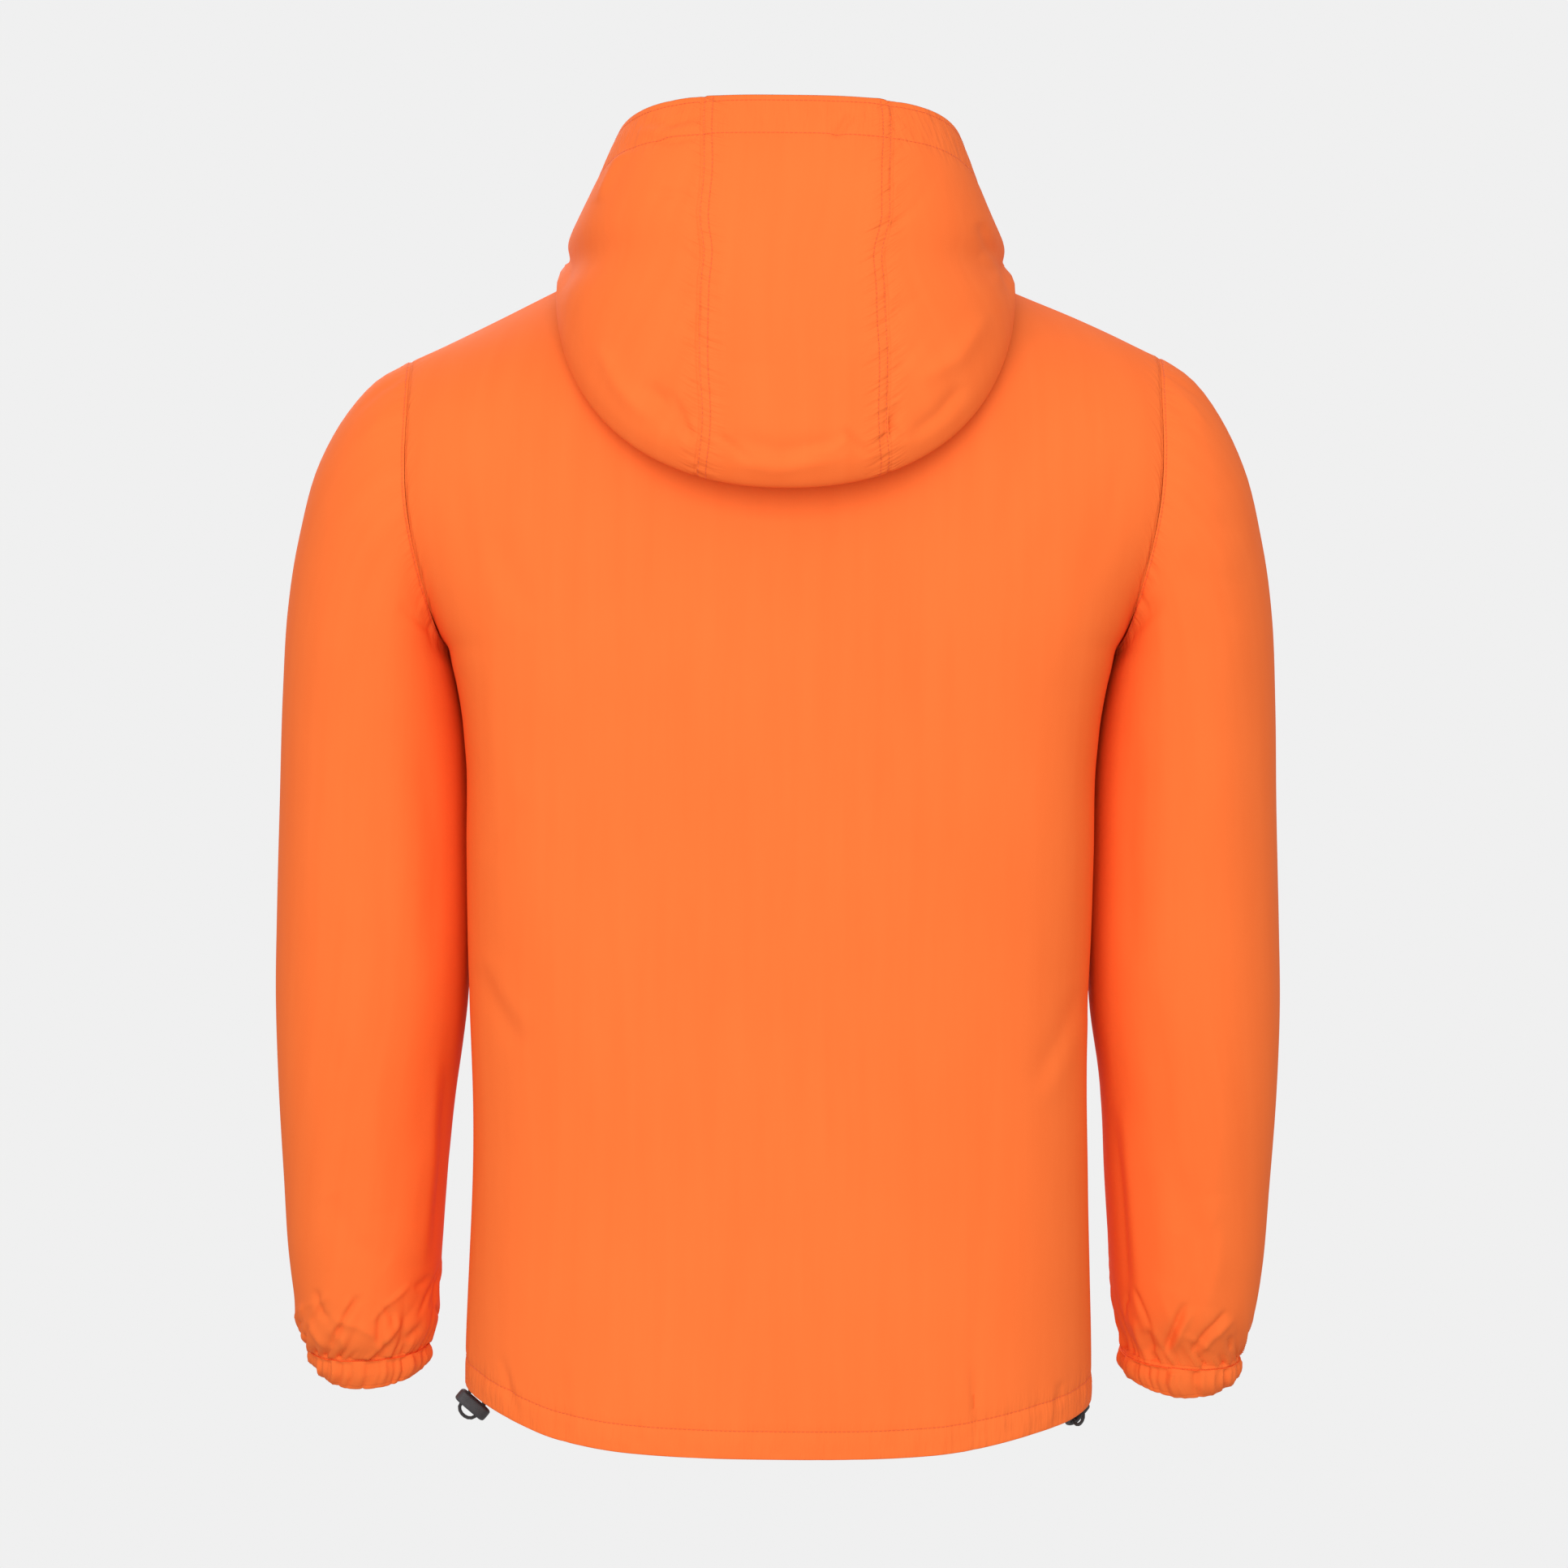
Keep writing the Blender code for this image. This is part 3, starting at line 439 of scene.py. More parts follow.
def settle(points: Array) -> Array:
    """Points moved by the garment's own slight unevenness from side to side.

    Args:
        points: the points.

    Returns:
        The moved points.
    """
    x, y, z = points[..., 0], points[..., 1], points[..., 2]
    moved = points.copy()
    high = ease(z, -0.32, -0.12) * ease(z, 0.03, -0.02)
    tip = 1.0 - 0.9 * ease(x, -0.232, -0.275)
    moved[..., 2] += high * (0.0052 * ease(x, -0.10, -0.21) * tip - 0.0020 * ease(x, 0.10, 0.21))
    moved[..., 0] += 0.0032 * ease(x, -0.255, -0.295) * ease(z, -0.02, -0.08) * ease(z, -0.52, -0.28)
    inside = ease(np.abs(x), 0.205, 0.197)
    moved[..., 0] -= 0.0023 * inside * ease(z, -0.42, -0.55)
    low = ease(z, -0.56, -0.67) * inside
    moved[..., 2] += low * (0.0052 * ease(x, 0.13, 0.186) - 0.0012 * ease(x, -0.15, -0.188))
    moved[..., 2] += low * 0.003 * ease(y, 0.0, 0.06) * ease(np.abs(x), 0.09, 0.165)
    return moved


# ---- Folds ----


@dataclass(frozen=True)
class Fold:
    """Soft ridge, or trough where its height is negative, along a line. All in millimetres."""

    line: tuple[tuple[float, float], ...]
    width: float
    height: float
    flare: float = 0.0
    sharp: float = 1.7
    rooted: bool = False

    def lift(self, plane: Array) -> Array:
        """Height of the fold over each point.

        Args:
            plane: two coordinates for each point, in metres.

        Returns:
            Heights in metres.
        """
        knots = np.array(self.line, float) / MM
        reach = self.width / MM * 3.2 * (1.0 + max(self.flare, 0.0))
        near = np.all((plane > knots.min(0) - reach) & (plane < knots.max(0) + reach), axis=-1)
        lifted = np.zeros(plane.shape[:-1])
        spots = plane[near]
        if not len(spots):
            return lifted
        lengths = np.linalg.norm(np.diff(knots, axis=0), axis=1)
        total, passed = lengths.sum(), 0.0
        best, run = np.full(len(spots), 1e9), np.zeros(len(spots))
        for a, b, length in zip(knots, knots[1:], lengths):
            t = np.clip(((spots - a) @ (b - a)) / length**2, 0.0, 1.0)
            off = np.linalg.norm(spots - a - t[:, None] * (b - a), axis=1)
            closer = off < best
            best = np.where(closer, off, best)
            run = np.where(closer, (passed + t * length) / total, run)
            passed += length
        ends = (1.0 - run) ** 1.1 if self.rooted else np.clip(5.0 * run * (1.0 - run), 0.0, 1.0) ** 0.8
        wide = self.width / MM * (1.0 + self.flare * run)
        lifted[near] = self.height / MM * np.exp(-((best / wide) ** self.sharp)) * ends
        return lifted


def fold_table(*rows: tuple[float, ...]) -> tuple[Fold, ...]:
    """Folds from rows in millimetres: x and z of three points, width, height."""
    return tuple(Fold((row[0:2], row[2:4], row[4:6]), *row[6:]) for row in rows)


@dataclass(frozen=True)
class Gathers:
    """Many small folds of uneven length, spacing and depth, along a seam. Lengths in millimetres."""

    seed: int
    count: int
    span: tuple[float, float]
    start: tuple[float, float]
    length: tuple[float, float]
    width: tuple[float, float]
    height: tuple[float, float]
    slant: float = 0.0
    along_rows: bool = False
    sharp: float = 1.5
    rooted: bool = True

    def folds(self) -> list[Fold]:
        """Folds that cross the seam, each at its own place along it.

        Returns:
            The folds.
        """
        dice = np.random.default_rng(self.seed)
        made = []
        for k in range(self.count):
            at = mix(*self.span, (k + dice.uniform(-0.42, 0.42) + 0.5) / self.count)
            low = dice.uniform(*self.start)
            high = low + dice.uniform(*self.length)
            lean = dice.normal(0.0, self.slant) * (high - low)
            middle = ((at + lean * 0.35 + dice.normal(0.0, 0.6)), (low + high) / 2)
            line = ((at, low), middle, (at + lean, high))
            if self.along_rows:
                line = tuple((b, a) for a, b in line)
            sign = -1.0 if dice.random() < 0.6 else 0.75
            shape = (dice.uniform(*self.width), sign * dice.uniform(*self.height), dice.uniform(0.2, 0.9))
            made.append(Fold(line, *shape, self.sharp, self.rooted))
        return made


# ---- Cloth panels ----


def arcs(grid: Array, axis: int) -> Array:
    """Length run along an axis of a grid, from its start."""
    steps = np.cumsum(np.linalg.norm(np.diff(grid, axis=axis), axis=2), axis=axis)
    return np.pad(steps, [(1, 0), (0, 0)] if axis == 0 else [(0, 0), (1, 0)])


def grid_normals(grid: Array, closed: bool) -> Array:
    """Outward unit normals of a grid with columns left to right from outside and rows upwards.

    Args:
        grid: rows upwards, columns left to right from outside.
        closed: whether the last column meets the first.

    Returns:
        The normals.
    """
    if closed:
        wrapped = np.concatenate([grid[:, -1:], grid, grid[:, :1]], axis=1)
        across = np.gradient(wrapped, axis=1)[:, 1:-1]
    else:
        across = np.gradient(grid, axis=1)
    normals = np.cross(across, np.gradient(grid, axis=0))
    return normals / np.maximum(np.linalg.norm(normals, axis=2, keepdims=True), 1e-12)


def linked(name: str, data: bpy.types.ID) -> Piece:
    """Adds an object to the scene.

    Args:
        name: its name.
        data: its mesh, curve, camera or light.

    Returns:
        The object.
    """
    made = bpy.data.objects.new(name, data)
    bpy.context.scene.collection.objects.link(made)
    return made


def relaxed(grid: Array, weight: Array, rounds: int) -> Array:
    """Grid whose inner points are drawn to the middle of their neighbours.

    Args:
        grid: points in rows and columns.
        weight: how much of the way each point goes in one round.
        rounds: number of rounds.

    Returns:
        The new grid, with the same border.
    """
    grid = grid.copy()
    for _ in range(rounds):
        middle = (grid[:-2, 1:-1] + grid[2:, 1:-1] + grid[1:-1, :-2] + grid[1:-1, 2:]) / 4
        grid[1:-1, 1:-1] += (middle - grid[1:-1, 1:-1]) * weight[1:-1, 1:-1, None]
    return grid


# Angles round the bend of a turned edge
BEND_ANGLES = (math.pi, 0.75 * math.pi, 0.5 * math.pi, 0.25 * math.pi)
# Distance from a seam at which folds fade, a distance that stands for no seam, the least angle of a sharp edge
SEAM_FADE, FAR, CREASE = 0.0022, 0.5, math.radians(60)
# Depth and reach of the dip at a seam
TUCK = (0.0006, 0.0016)


@dataclass
class ClothPanel:
    """One cut panel: a grid of points on its outer face, the folds pressed into it and its turned edges."""

    name: str
    grid: Array
    closed: bool = False
    thickness: float = 0.0005
    turned: dict[Edge, float] = field(default_factory=dict)
    turn_gap: float = 0.0012
    flanges: tuple[Edge, ...] = ()
    flange: float = 0.0012
    lift: Array = field(init=False)
    obj: Piece | None = field(init=False, default=None)

    def __post_init__(self) -> None:
        """Starts with no folds."""
        self.lift = np.zeros(self.grid.shape[:2])
        self.base_normals = grid_normals(self.grid, self.closed)

    @property
    def plan(self) -> Array:
        """The points' x and z, for folds placed as seen from behind or before."""
        return self.grid[..., [0, 2]]

    def spread(self) -> Array:
        """The points' own lengths across and up the panel, across measured from its middle column."""
        u, v = arcs(self.grid, 1), arcs(self.grid, 0)
        return np.stack([u - u[:, u.shape[1] // 2, None], v], axis=-1)

    def press(self, folds: list[Fold] | tuple[Fold, ...], plane: Array, where: Array | float = 1.0) -> None:
        """Adds folds.

        Args:
            folds: the folds.
            plane: two coordinates for each point that their lines are placed in.
            where: how much of them each point takes.
        """
        for fold in folds:
            self.lift += fold.lift(plane) * where

    def tuck(self, edge: Edge, depth: float, reach: float, where: Array | float = 1.0) -> None:
        """Sinks the cloth towards a seam.

        Args:
            edge: edge that the seam runs along.
            depth: how far it sinks there.
            reach: distance from the seam at which it is level again.
            where: how much of it each point takes.
        """
        away = self.away(edge)
        self.lift *= 1.0 - ease(away, SEAM_FADE, 0.0) * where
        self.lift -= depth * swell(away, 0.0, reach) * where

    def away(self, edge: Edge) -> Array:
        """Distance of each point from an edge, along the cloth.

        Args:
            edge: the edge.

        Returns:
            The distances.
        """
        if edge in BOTH_SIDES:
            u = arcs(self.grid, 1)
            return u if edge is Edge.LEFT else u[:, -1:] - u
        v = arcs(self.grid, 0)
        return v if edge is Edge.BOTTOM else v[-1:] - v

    def surface(self) -> Array:
        """Points with their folds."""
        return self.grid + self.base_normals * self.lift[..., None]

    def line(self, edge: Edge, offset: float, span: tuple[float, float] = (0.0, 1.0)) -> tuple[Array, Array]:
        """Line along an edge.

        Args:
            edge: edge that it follows.
            offset: distance from it.
            span: share of its length that is wanted.

        Returns:
            Its points, and the surface normals there.
        """
        points, normals, away = self.surface(), self.base_normals, self.away(edge)
        if edge in BOTH_SIDES:
            points, normals, away = (np.swapaxes(a, 0, 1) for a in (points, normals, away))
        if edge in (Edge.RIGHT, Edge.TOP):
            points, normals, away = points[::-1], normals[::-1], away[::-1]
        found, up = [], []
        for j in range(points.shape[1]):
            row = np.interp(offset, away[:, j], np.arange(len(away)))
            k = min(int(row), len(away) - 2)
            found.append(mix(points[k, j], points[k + 1, j], row - k))
            up.append(mix(normals[k, j], normals[k + 1, j], row - k))
        first, last = (round(s * (len(found) - 1)) for s in span)
        found, up = np.array(found)[first : last + 1], np.array(up)[first : last + 1]
        if self.closed and span == (0.0, 1.0):
            found, up = np.concatenate([found, found[:1]]), np.concatenate([up, up[:1]])
        return found, up

    def with_turned_edges(self) -> tuple[Array, Array, Array]:
        """Rows with the turned edges added.

        Returns:
            The points, the row of the panel that each row follows, and the sign of its way up.
        """
        points = self.surface()
        rows, sign = np.arange(len(points)), np.ones(len(points))
        for edge, depth in self.turned.items():
            flip = edge is Edge.TOP
            outer, index, way = (points[::-1], rows[::-1], sign[::-1]) if flip else (points, rows, sign)
            normals = self.base_normals[index]
            run = arcs(outer, 0)[:, outer.shape[1] // 2]
            count = max(int(np.searchsorted(run, depth)), 2)
            down = outer[0] - outer[1]
            down /= np.maximum(np.linalg.norm(down, axis=1, keepdims=True), 1e-9)
            half = self.turn_gap / 2
            inner = (outer[1 : count + 1] - normals[1 : count + 1] * self.turn_gap)[::-1]
            bend = [
                outer[0] - normals[0] * half * (1 - math.cos(t)) + down * half * math.sin(t)
                for t in BEND_ANGLES
            ]
            outer = np.concatenate([inner, np.array(bend), outer])
            index = np.concatenate([index[1 : count + 1][::-1], np.repeat(index[0], len(BEND_ANGLES)), index])
            way = np.concatenate([-np.ones(count), np.zeros(len(BEND_ANGLES)), way])
            points, rows, sign = (outer[::-1], index[::-1], way[::-1]) if flip else (outer, index, way)
        return points, rows, sign

    def with_flanges(self, points: Array, rows: Array, sign: Array) -> tuple[Array, ...]:
        """Grid with a narrow strip turned square inwards along each seam.

        Args:
            points: the grid.
            rows: the row of the panel that each row follows.
            sign: the sign of its way up.

        Returns:
            The points, the rows and columns of the panel that they follow and the sign of their way up.
        """
        normals, columns = self.base_normals[rows], np.arange(points.shape[1])
        for edge in self.flanges:
            axis = 1 if edge in BOTH_SIDES else 0
            first = edge in (Edge.LEFT, Edge.BOTTOM)
            pick = [0 if first else -1]
            strip = np.take(points, pick, axis) - np.take(normals, pick, axis) * self.flange
            more = np.take(normals, pick, axis)
            points = np.concatenate([strip, points] if first else [points, strip], axis=axis)
            normals = np.concatenate([more, normals] if first else [normals, more], axis=axis)
            if axis == 1:
                columns = np.concatenate([columns[pick], columns] if first else [columns, columns[pick]])
            else:
                rows = np.concatenate([rows[pick], rows] if first else [rows, rows[pick]])
                sign = np.concatenate([sign[pick], sign] if first else [sign, sign[pick]])
        return points, rows, columns, sign

    def build(self, side_edges: tuple[Edge, ...] = (), end_edges: tuple[Edge, ...] = ()) -> Piece:
        """Makes the panel's closed shell.

        Args:
            side_edges: of the left and right edges, those with a seam that the finish follows.
            end_edges: the same of the bottom and top edges.

        Returns:
            The new object, with its UV map in metres and its distances from seams as attributes.
        """
        outer, rows, columns, sign = self.with_flanges(*self.with_turned_edges())
        inner = outer - grid_normals(outer, self.closed) * self.thickness
        n, m = outer.shape[:2]
        spans = m if self.closed else m - 1
        i, j = np.meshgrid(np.arange(n - 1), np.arange(spans), indexing="ij")
        a, b = (i * m + j).ravel(), (i * m + (j + 1) % m).ravel()
        back = n * m
        outside = np.stack([a, b, b + m, a + m], axis=1)
        inside = np.stack([a, a + m, b + m, b], axis=1) + back
        ends = []
        k = np.arange(spans)
        for row, turn in ((0, 1), (n - 1, -1)):
            first, second = row * m + k, row * m + (k + 1) % m
            quad = np.stack([first, first + back, second + back, second], axis=1)
            ends.append(quad[:, ::turn])
        if not self.closed:
            r = np.arange(n - 1)
            for column, turn in ((0, -1), (m - 1, 1)):
                first, second = r * m + column, (r + 1) * m + column
                quad = np.stack([first, first + back, second + back, second], axis=1)
                ends.append(quad[:, ::turn])
        faces = np.concatenate([outside, inside] + ends)
        points = np.concatenate([outer.reshape(-1, 3), inner.reshape(-1, 3)])
        mesh = bpy.data.meshes.new(self.name + "_cloth")
        mesh.from_pydata(points.tolist(), [], faces.tolist())
        mesh.update()
        spread = self.spread()[rows][:, columns]
        spread[..., 1] *= np.where(sign == 0, 0.0, sign)[:, None]
        if self.closed:
            seam = np.linalg.norm(self.grid[:, 0] - self.grid[:, -1], axis=1)[rows]
            last = spread[:, -1:].copy()
            last[..., 0] += seam[:, None]
            spread = np.concatenate([spread, last], axis=1)
        self._write_uv(mesh, spread, faces, m, n)
        for name, edges in (("seam_side", side_edges), ("seam_end", end_edges)):
            away = np.full(self.grid.shape[:2], FAR)
            for edge in edges:
                away = np.minimum(away, self.away(edge))
            values = np.tile(away[rows][:, columns].ravel(), 2)
            mesh.attributes.new(name, "FLOAT", "POINT").data.foreach_set("value", values)
        mesh.shade_smooth()
        mesh.set_sharp_from_angle(angle=CREASE)
        self.obj = linked(self.name + "_cloth", mesh)
        return self.obj

    def _write_uv(self, mesh: bpy.types.Mesh, spread: Array, faces: Array, m: int, n: int) -> None:
        """Writes the cloth's own lengths as its UV map, in metres.

        Args:
            mesh: the shell.
            spread: lengths at each point, with one more column where the shell is closed.
            faces: corners of each face.
            m: points in a row.
            n: rows.
        """
        point = faces % (n * m)
        row, column = point // m, point % m
        if self.closed:
            wraps = (column.max(axis=1) == m - 1) & (column.min(axis=1) == 0)
            column = np.where(wraps[:, None] & (column == 0), m, column)
        layer = mesh.uv_layers.new(name="UVMap")
        layer.data.foreach_set("uv", spread[row, column].ravel())


# ---- Finishes ----


class NodeSheet:
    """A material's nodes, added and joined in short steps."""

    def __init__(self, name: str) -> None:
        """Starts a material with its Principled shader.

        Args:
            name: the material's name.
        """
        self.material = bpy.data.materials.new(name)
        self.material.use_nodes = True
        self.tree = self.material.node_tree
        self.shader = self.tree.nodes["Principled BSDF"]

    def add(self, kind: str, **values: object) -> bpy.types.Node:
        """Adds a node.

        Args:
            kind: its type, without the leading ShaderNode.
            values: its settings; a socket's value is given under the socket's name with underscores for spaces.

        Returns:
            The node.
        """
        node = self.tree.nodes.new("ShaderNode" + kind)
        for key, value in values.items():
            if hasattr(node, key):
                setattr(node, key, value)
            else:
                node.inputs[key.replace("_", " ")].default_value = value
        return node

    def join(self, start: Socket, end: Socket) -> None:
        """Joins two sockets."""
        self.tree.links.new(start, end)

    def math(self, operation: str, *inputs: object, clamp: bool = False) -> Socket:
        """Adds a math node.

        Args:
            operation: Blender's name of it.
            inputs: numbers or sockets.
            clamp: whether it stays between 0 and 1.

        Returns:
            Its output.
        """
        node = self.add("Math", operation=operation, use_clamp=clamp)
        for socket, value in zip(node.inputs, inputs):
            if isinstance(value, Socket):
                self.join(value, socket)
            else:
                socket.default_value = value
        return node.outputs[0]

    def noise(self, vector: Socket, stretch: Triple, detail: float = 2.0) -> Socket:
        """Adds smooth noise.

        Args:
            vector: coordinates in metres.
            stretch: how many patches there are in a metre, each way.
            detail: Blender's detail.

        Returns:
            Its value, about 0 to 1.
        """
        turn = self.add("Mapping")
        turn.inputs["Scale"].default_value = stretch
        self.join(vector, turn.inputs["Vector"])
        node = self.add("TexNoise", Scale=1.0, Detail=detail, Roughness=0.5)
        self.join(turn.outputs[0], node.inputs["Vector"])
        return node.outputs["Fac"]

    def blend(self, share: Socket, first: Colour, second: Colour) -> Socket:
        """Mixes two colours.

        Args:
            share: how much of the second.
            first: one colour.
            second: the other.

        Returns:
            The mixed colour.
        """
        node = self.add("Mix", data_type="RGBA")
        self.join(share, node.inputs["Factor"])
        node.inputs[6].default_value = (*first, 1.0)
        node.inputs[7].default_value = (*second, 1.0)
        return node.outputs[2]

    def spread(self, value: Socket, low: float, high: float, to: tuple[float, float] = (0.0, 1.0)) -> Socket:
        """Maps a range of values to another, clamped.

        Args:
            value: what is mapped.
            low: value that becomes the first of the new range.
            high: value that becomes its second.
            to: the new range.

        Returns:
            The mapped value.
        """
        node = self.add("MapRange", From_Min=low, From_Max=high, To_Min=to[0], To_Max=to[1])
        self.join(value, node.inputs["Value"])
        return node.outputs[0]

    def feed(self, name: str, value: Socket) -> None:
        """Joins a value to the shader's socket of this name."""
        self.join(value, self.shader.inputs[name])

    def bump(self, height: Socket, distance: float) -> None:
        """Raises the surface.

        Args:
            height: the height, where 1 stands for the distance.
            distance: metres.
        """
        node = self.add("Bump", Strength=1.0, Distance=distance)
        self.join(height, node.inputs["Height"])
        self.feed("Normal", node.outputs[0])

    def set(self, **values: object) -> None:
        """Sets the shader's own sockets, named with underscores for spaces."""
        for key, value in values.items():
            self.shader.inputs[key.replace("_", " ")].default_value = value


@dataclass(frozen=True)
class TaffetaFinish:
    """Thin plain-woven taffeta with a soft sheen, puckered along its seams."""

    name: str = "taffeta"
    low: Colour = (0.960, 0.174, 0.036)
    high: Colour = (0.980, 0.189, 0.041)
    roughness: tuple[float, float] = (0.66, 0.76)
    side_rows: tuple[float, ...] = ()
    end_rows: tuple[float, ...] = ()
    side_pucker: float = 0.0
    end_pucker: float = 0.0

    def _rows(self, sheet: NodeSheet, away: Socket, offsets: tuple[float, ...]) -> Socket:
        """Fine sunk lines at these distances from a seam, which also darken the base colour as painted shade in their
        grooves.

        Args:
            sheet: the material's nodes.
            away: distance from the seam.
            offsets: where the lines run.

        Returns:
            1 on a line, 0 away from it.
        """
        total = None
        for offset in offsets:
            off = sheet.math("ABSOLUTE", sheet.math("SUBTRACT", away, offset))
            mark = sheet.spread(off, 0.0001, 0.0008, (1.0, 0.0))
            total = mark if total is None else sheet.math("MAXIMUM", total, mark)
        return total

    def make(self) -> Material:
        """Builds the material, which reads the cloth's UV map in metres and its distances from seams.

        Returns:
            The material.
        """
        sheet = NodeSheet(self.name)
        lay = sheet.add("UVMap", uv_map="UVMap").outputs[0]
        streaks = sheet.noise(lay, (95.0, 7.0, 1.0), 3.0)
        clouds = sheet.noise(lay, (11.0, 8.0, 1.0), 2.0)
        tone = sheet.math("ADD", sheet.math("MULTIPLY", streaks, 0.45), sheet.math("MULTIPLY", clouds, 0.55))
        colour = sheet.blend(sheet.spread(tone, 0.34, 0.66), self.low, self.high)
        warp = sheet.noise(lay, (2600.0, 700.0, 1.0), 1.0)
        weft = sheet.noise(lay, (700.0, 2600.0, 1.0), 1.0)
        height = sheet.math("MULTIPLY", sheet.math("ADD", warp, weft), 0.030)
        height = sheet.math("ADD", height, sheet.math("MULTIPLY", sheet.noise(lay, (60.0, 42.0, 1.0), 3.0), 0.26))
        marks = None
        for word, rows, pucker, stretch in (
            ("seam_side", self.side_rows, self.side_pucker, (38.0, 230.0, 1.0)),
            ("seam_end", self.end_rows, self.end_pucker, (230.0, 38.0, 1.0)),
        ):
            away = sheet.add("Attribute", attribute_name=word).outputs["Fac"]
            if pucker:
                last = max(rows, default=0.0)
                near = sheet.spread(away, last + 0.001, last + 0.012, (1.0, 0.0))
                ripple = sheet.math("SUBTRACT", sheet.noise(lay, stretch, 2.0), 0.5)
                swell = sheet.math("MULTIPLY", sheet.math("MULTIPLY", ripple, near), pucker)
                height = sheet.math("ADD", height, swell)
            if rows:
                mark = self._rows(sheet, away, rows)
                marks = mark if marks is None else sheet.math("MAXIMUM", marks, mark)
        if marks is not None:
            height = sheet.math("SUBTRACT", height, sheet.math("MULTIPLY", marks, 0.12))
            # Painted shade: the base colour is darkened along the sunk stitch lines, standing in for the shade that
            # falls in their grooves.
            painted_groove_shade = sheet.add("Mix", data_type="RGBA", blend_type="MULTIPLY")
            sheet.join(sheet.math("MULTIPLY", marks, 0.16), painted_groove_shade.inputs["Factor"])
            sheet.join(colour, painted_groove_shade.inputs[6])
            painted_groove_shade.inputs[7].default_value = (0.80, 0.50, 0.45, 1.0)
            colour = painted_groove_shade.outputs[2]
        sheet.feed("Base Color", colour)
        sheet.feed("Roughness", sheet.spread(clouds, 0.3, 0.7, self.roughness))
        sheet.bump(height, 0.001)
        sheet.set(Specular_IOR_Level=0.06)
        return sheet.material


@dataclass(frozen=True)
class ThreadFinish:
    """Twisted sewing thread in the cloth's own tone."""

    name: str = "thread"
    low: Colour = (0.66, 0.082, 0.014)
    high: Colour = (0.86, 0.140, 0.022)

    def make(self) -> Material:
        """Builds the material.

        Returns:
            The material.
        """
        sheet = NodeSheet(self.name)
        place = sheet.add("TexCoord").outputs["Object"]
        ply = sheet.noise(place, (1800.0, 1800.0, 1800.0), 1.0)
        sheet.feed("Base Color", sheet.blend(ply, self.low, self.high))
        sheet.bump(ply, 0.0001)
        sheet.set(Roughness=0.6, Sheen_Weight=0.2)
        return sheet.material


@dataclass(frozen=True)
class TapeFinish:
    """Herringbone tape of the zip."""

    name: str = "woven_tape"
    low: Colour = (0.74, 0.115, 0.026)
    high: Colour = (0.88, 0.165, 0.040)

    def make(self) -> Material:
        """Builds the material, whose ribs follow the tape's UV map.

        Returns:
            The material.
        """
        sheet = NodeSheet(self.name)
        lay = sheet.add("UVMap", uv_map="UVMap").outputs[0]
        wave = sheet.add("TexWave", Scale=160.0, Distortion=2.0, Detail=1.0)
        wave.bands_direction = "DIAGONAL"
        sheet.join(lay, wave.inputs["Vector"])
        rib = wave.outputs["Fac"]
        fuzz = sheet.noise(lay, (900.0, 900.0, 1.0), 2.0)
        tone = sheet.math("ADD", sheet.math("MULTIPLY", rib, 0.6), sheet.math("MULTIPLY", fuzz, 0.4))
        sheet.feed("Base Color", sheet.blend(tone, self.low, self.high))
        sheet.bump(tone, 0.00025)
        sheet.set(Roughness=0.82, Sheen_Weight=0.15)
        return sheet.material


@dataclass(frozen=True)
class HardFinish:
    """Enamelled metal, nylon or moulded plastic: a tone with grain, wear and a fine surface."""

    name: str
    low: Colour
    high: Colour
    roughness: tuple[float, float]
    grain: float
    relief: float
    metallic: float = 0.0
    coat: float = 0.0

    def make(self) -> Material:
        """Builds the material from the piece's place in the garment.

        Returns:
            The material.
        """
        sheet = NodeSheet(self.name)
        place = sheet.add("TexCoord").outputs["Object"]
        fine = sheet.noise(place, (self.grain,) * 3, 3.0)
        broad = sheet.noise(place, (140.0, 140.0, 140.0), 2.0)
        sheet.feed("Base Color", sheet.blend(sheet.spread(broad, 0.3, 0.7), self.low, self.high))
        sheet.feed("Roughness", sheet.spread(fine, 0.3, 0.7, self.roughness))
        sheet.bump(fine, self.relief)
        sheet.set(Metallic=self.metallic, Coat_Weight=self.coat, Coat_Roughness=0.25)
        return sheet.material


@dataclass(frozen=True)
class CordFinish:
    """Braided elastic cord."""

    name: str = "braided_cord"
    low: Colour = (0.018, 0.016, 0.017)
    high: Colour = (0.055, 0.050, 0.052)

    def make(self) -> Material:
        """Builds the material.

        Returns:
            The material.
        """
        sheet = NodeSheet(self.name)
        place = sheet.add("TexCoord").outputs["Object"]
        braid = sheet.add("TexVoronoi", Scale=1500.0)
        sheet.join(place, braid.inputs["Vector"])
        strand = braid.outputs["Distance"]
        sheet.feed("Base Color", sheet.blend(strand, self.high, self.low))
        sheet.bump(strand, 0.0003)
        sheet.set(Roughness=0.85, Sheen_Weight=0.3)
        return sheet.material


# ---- Workbench ----


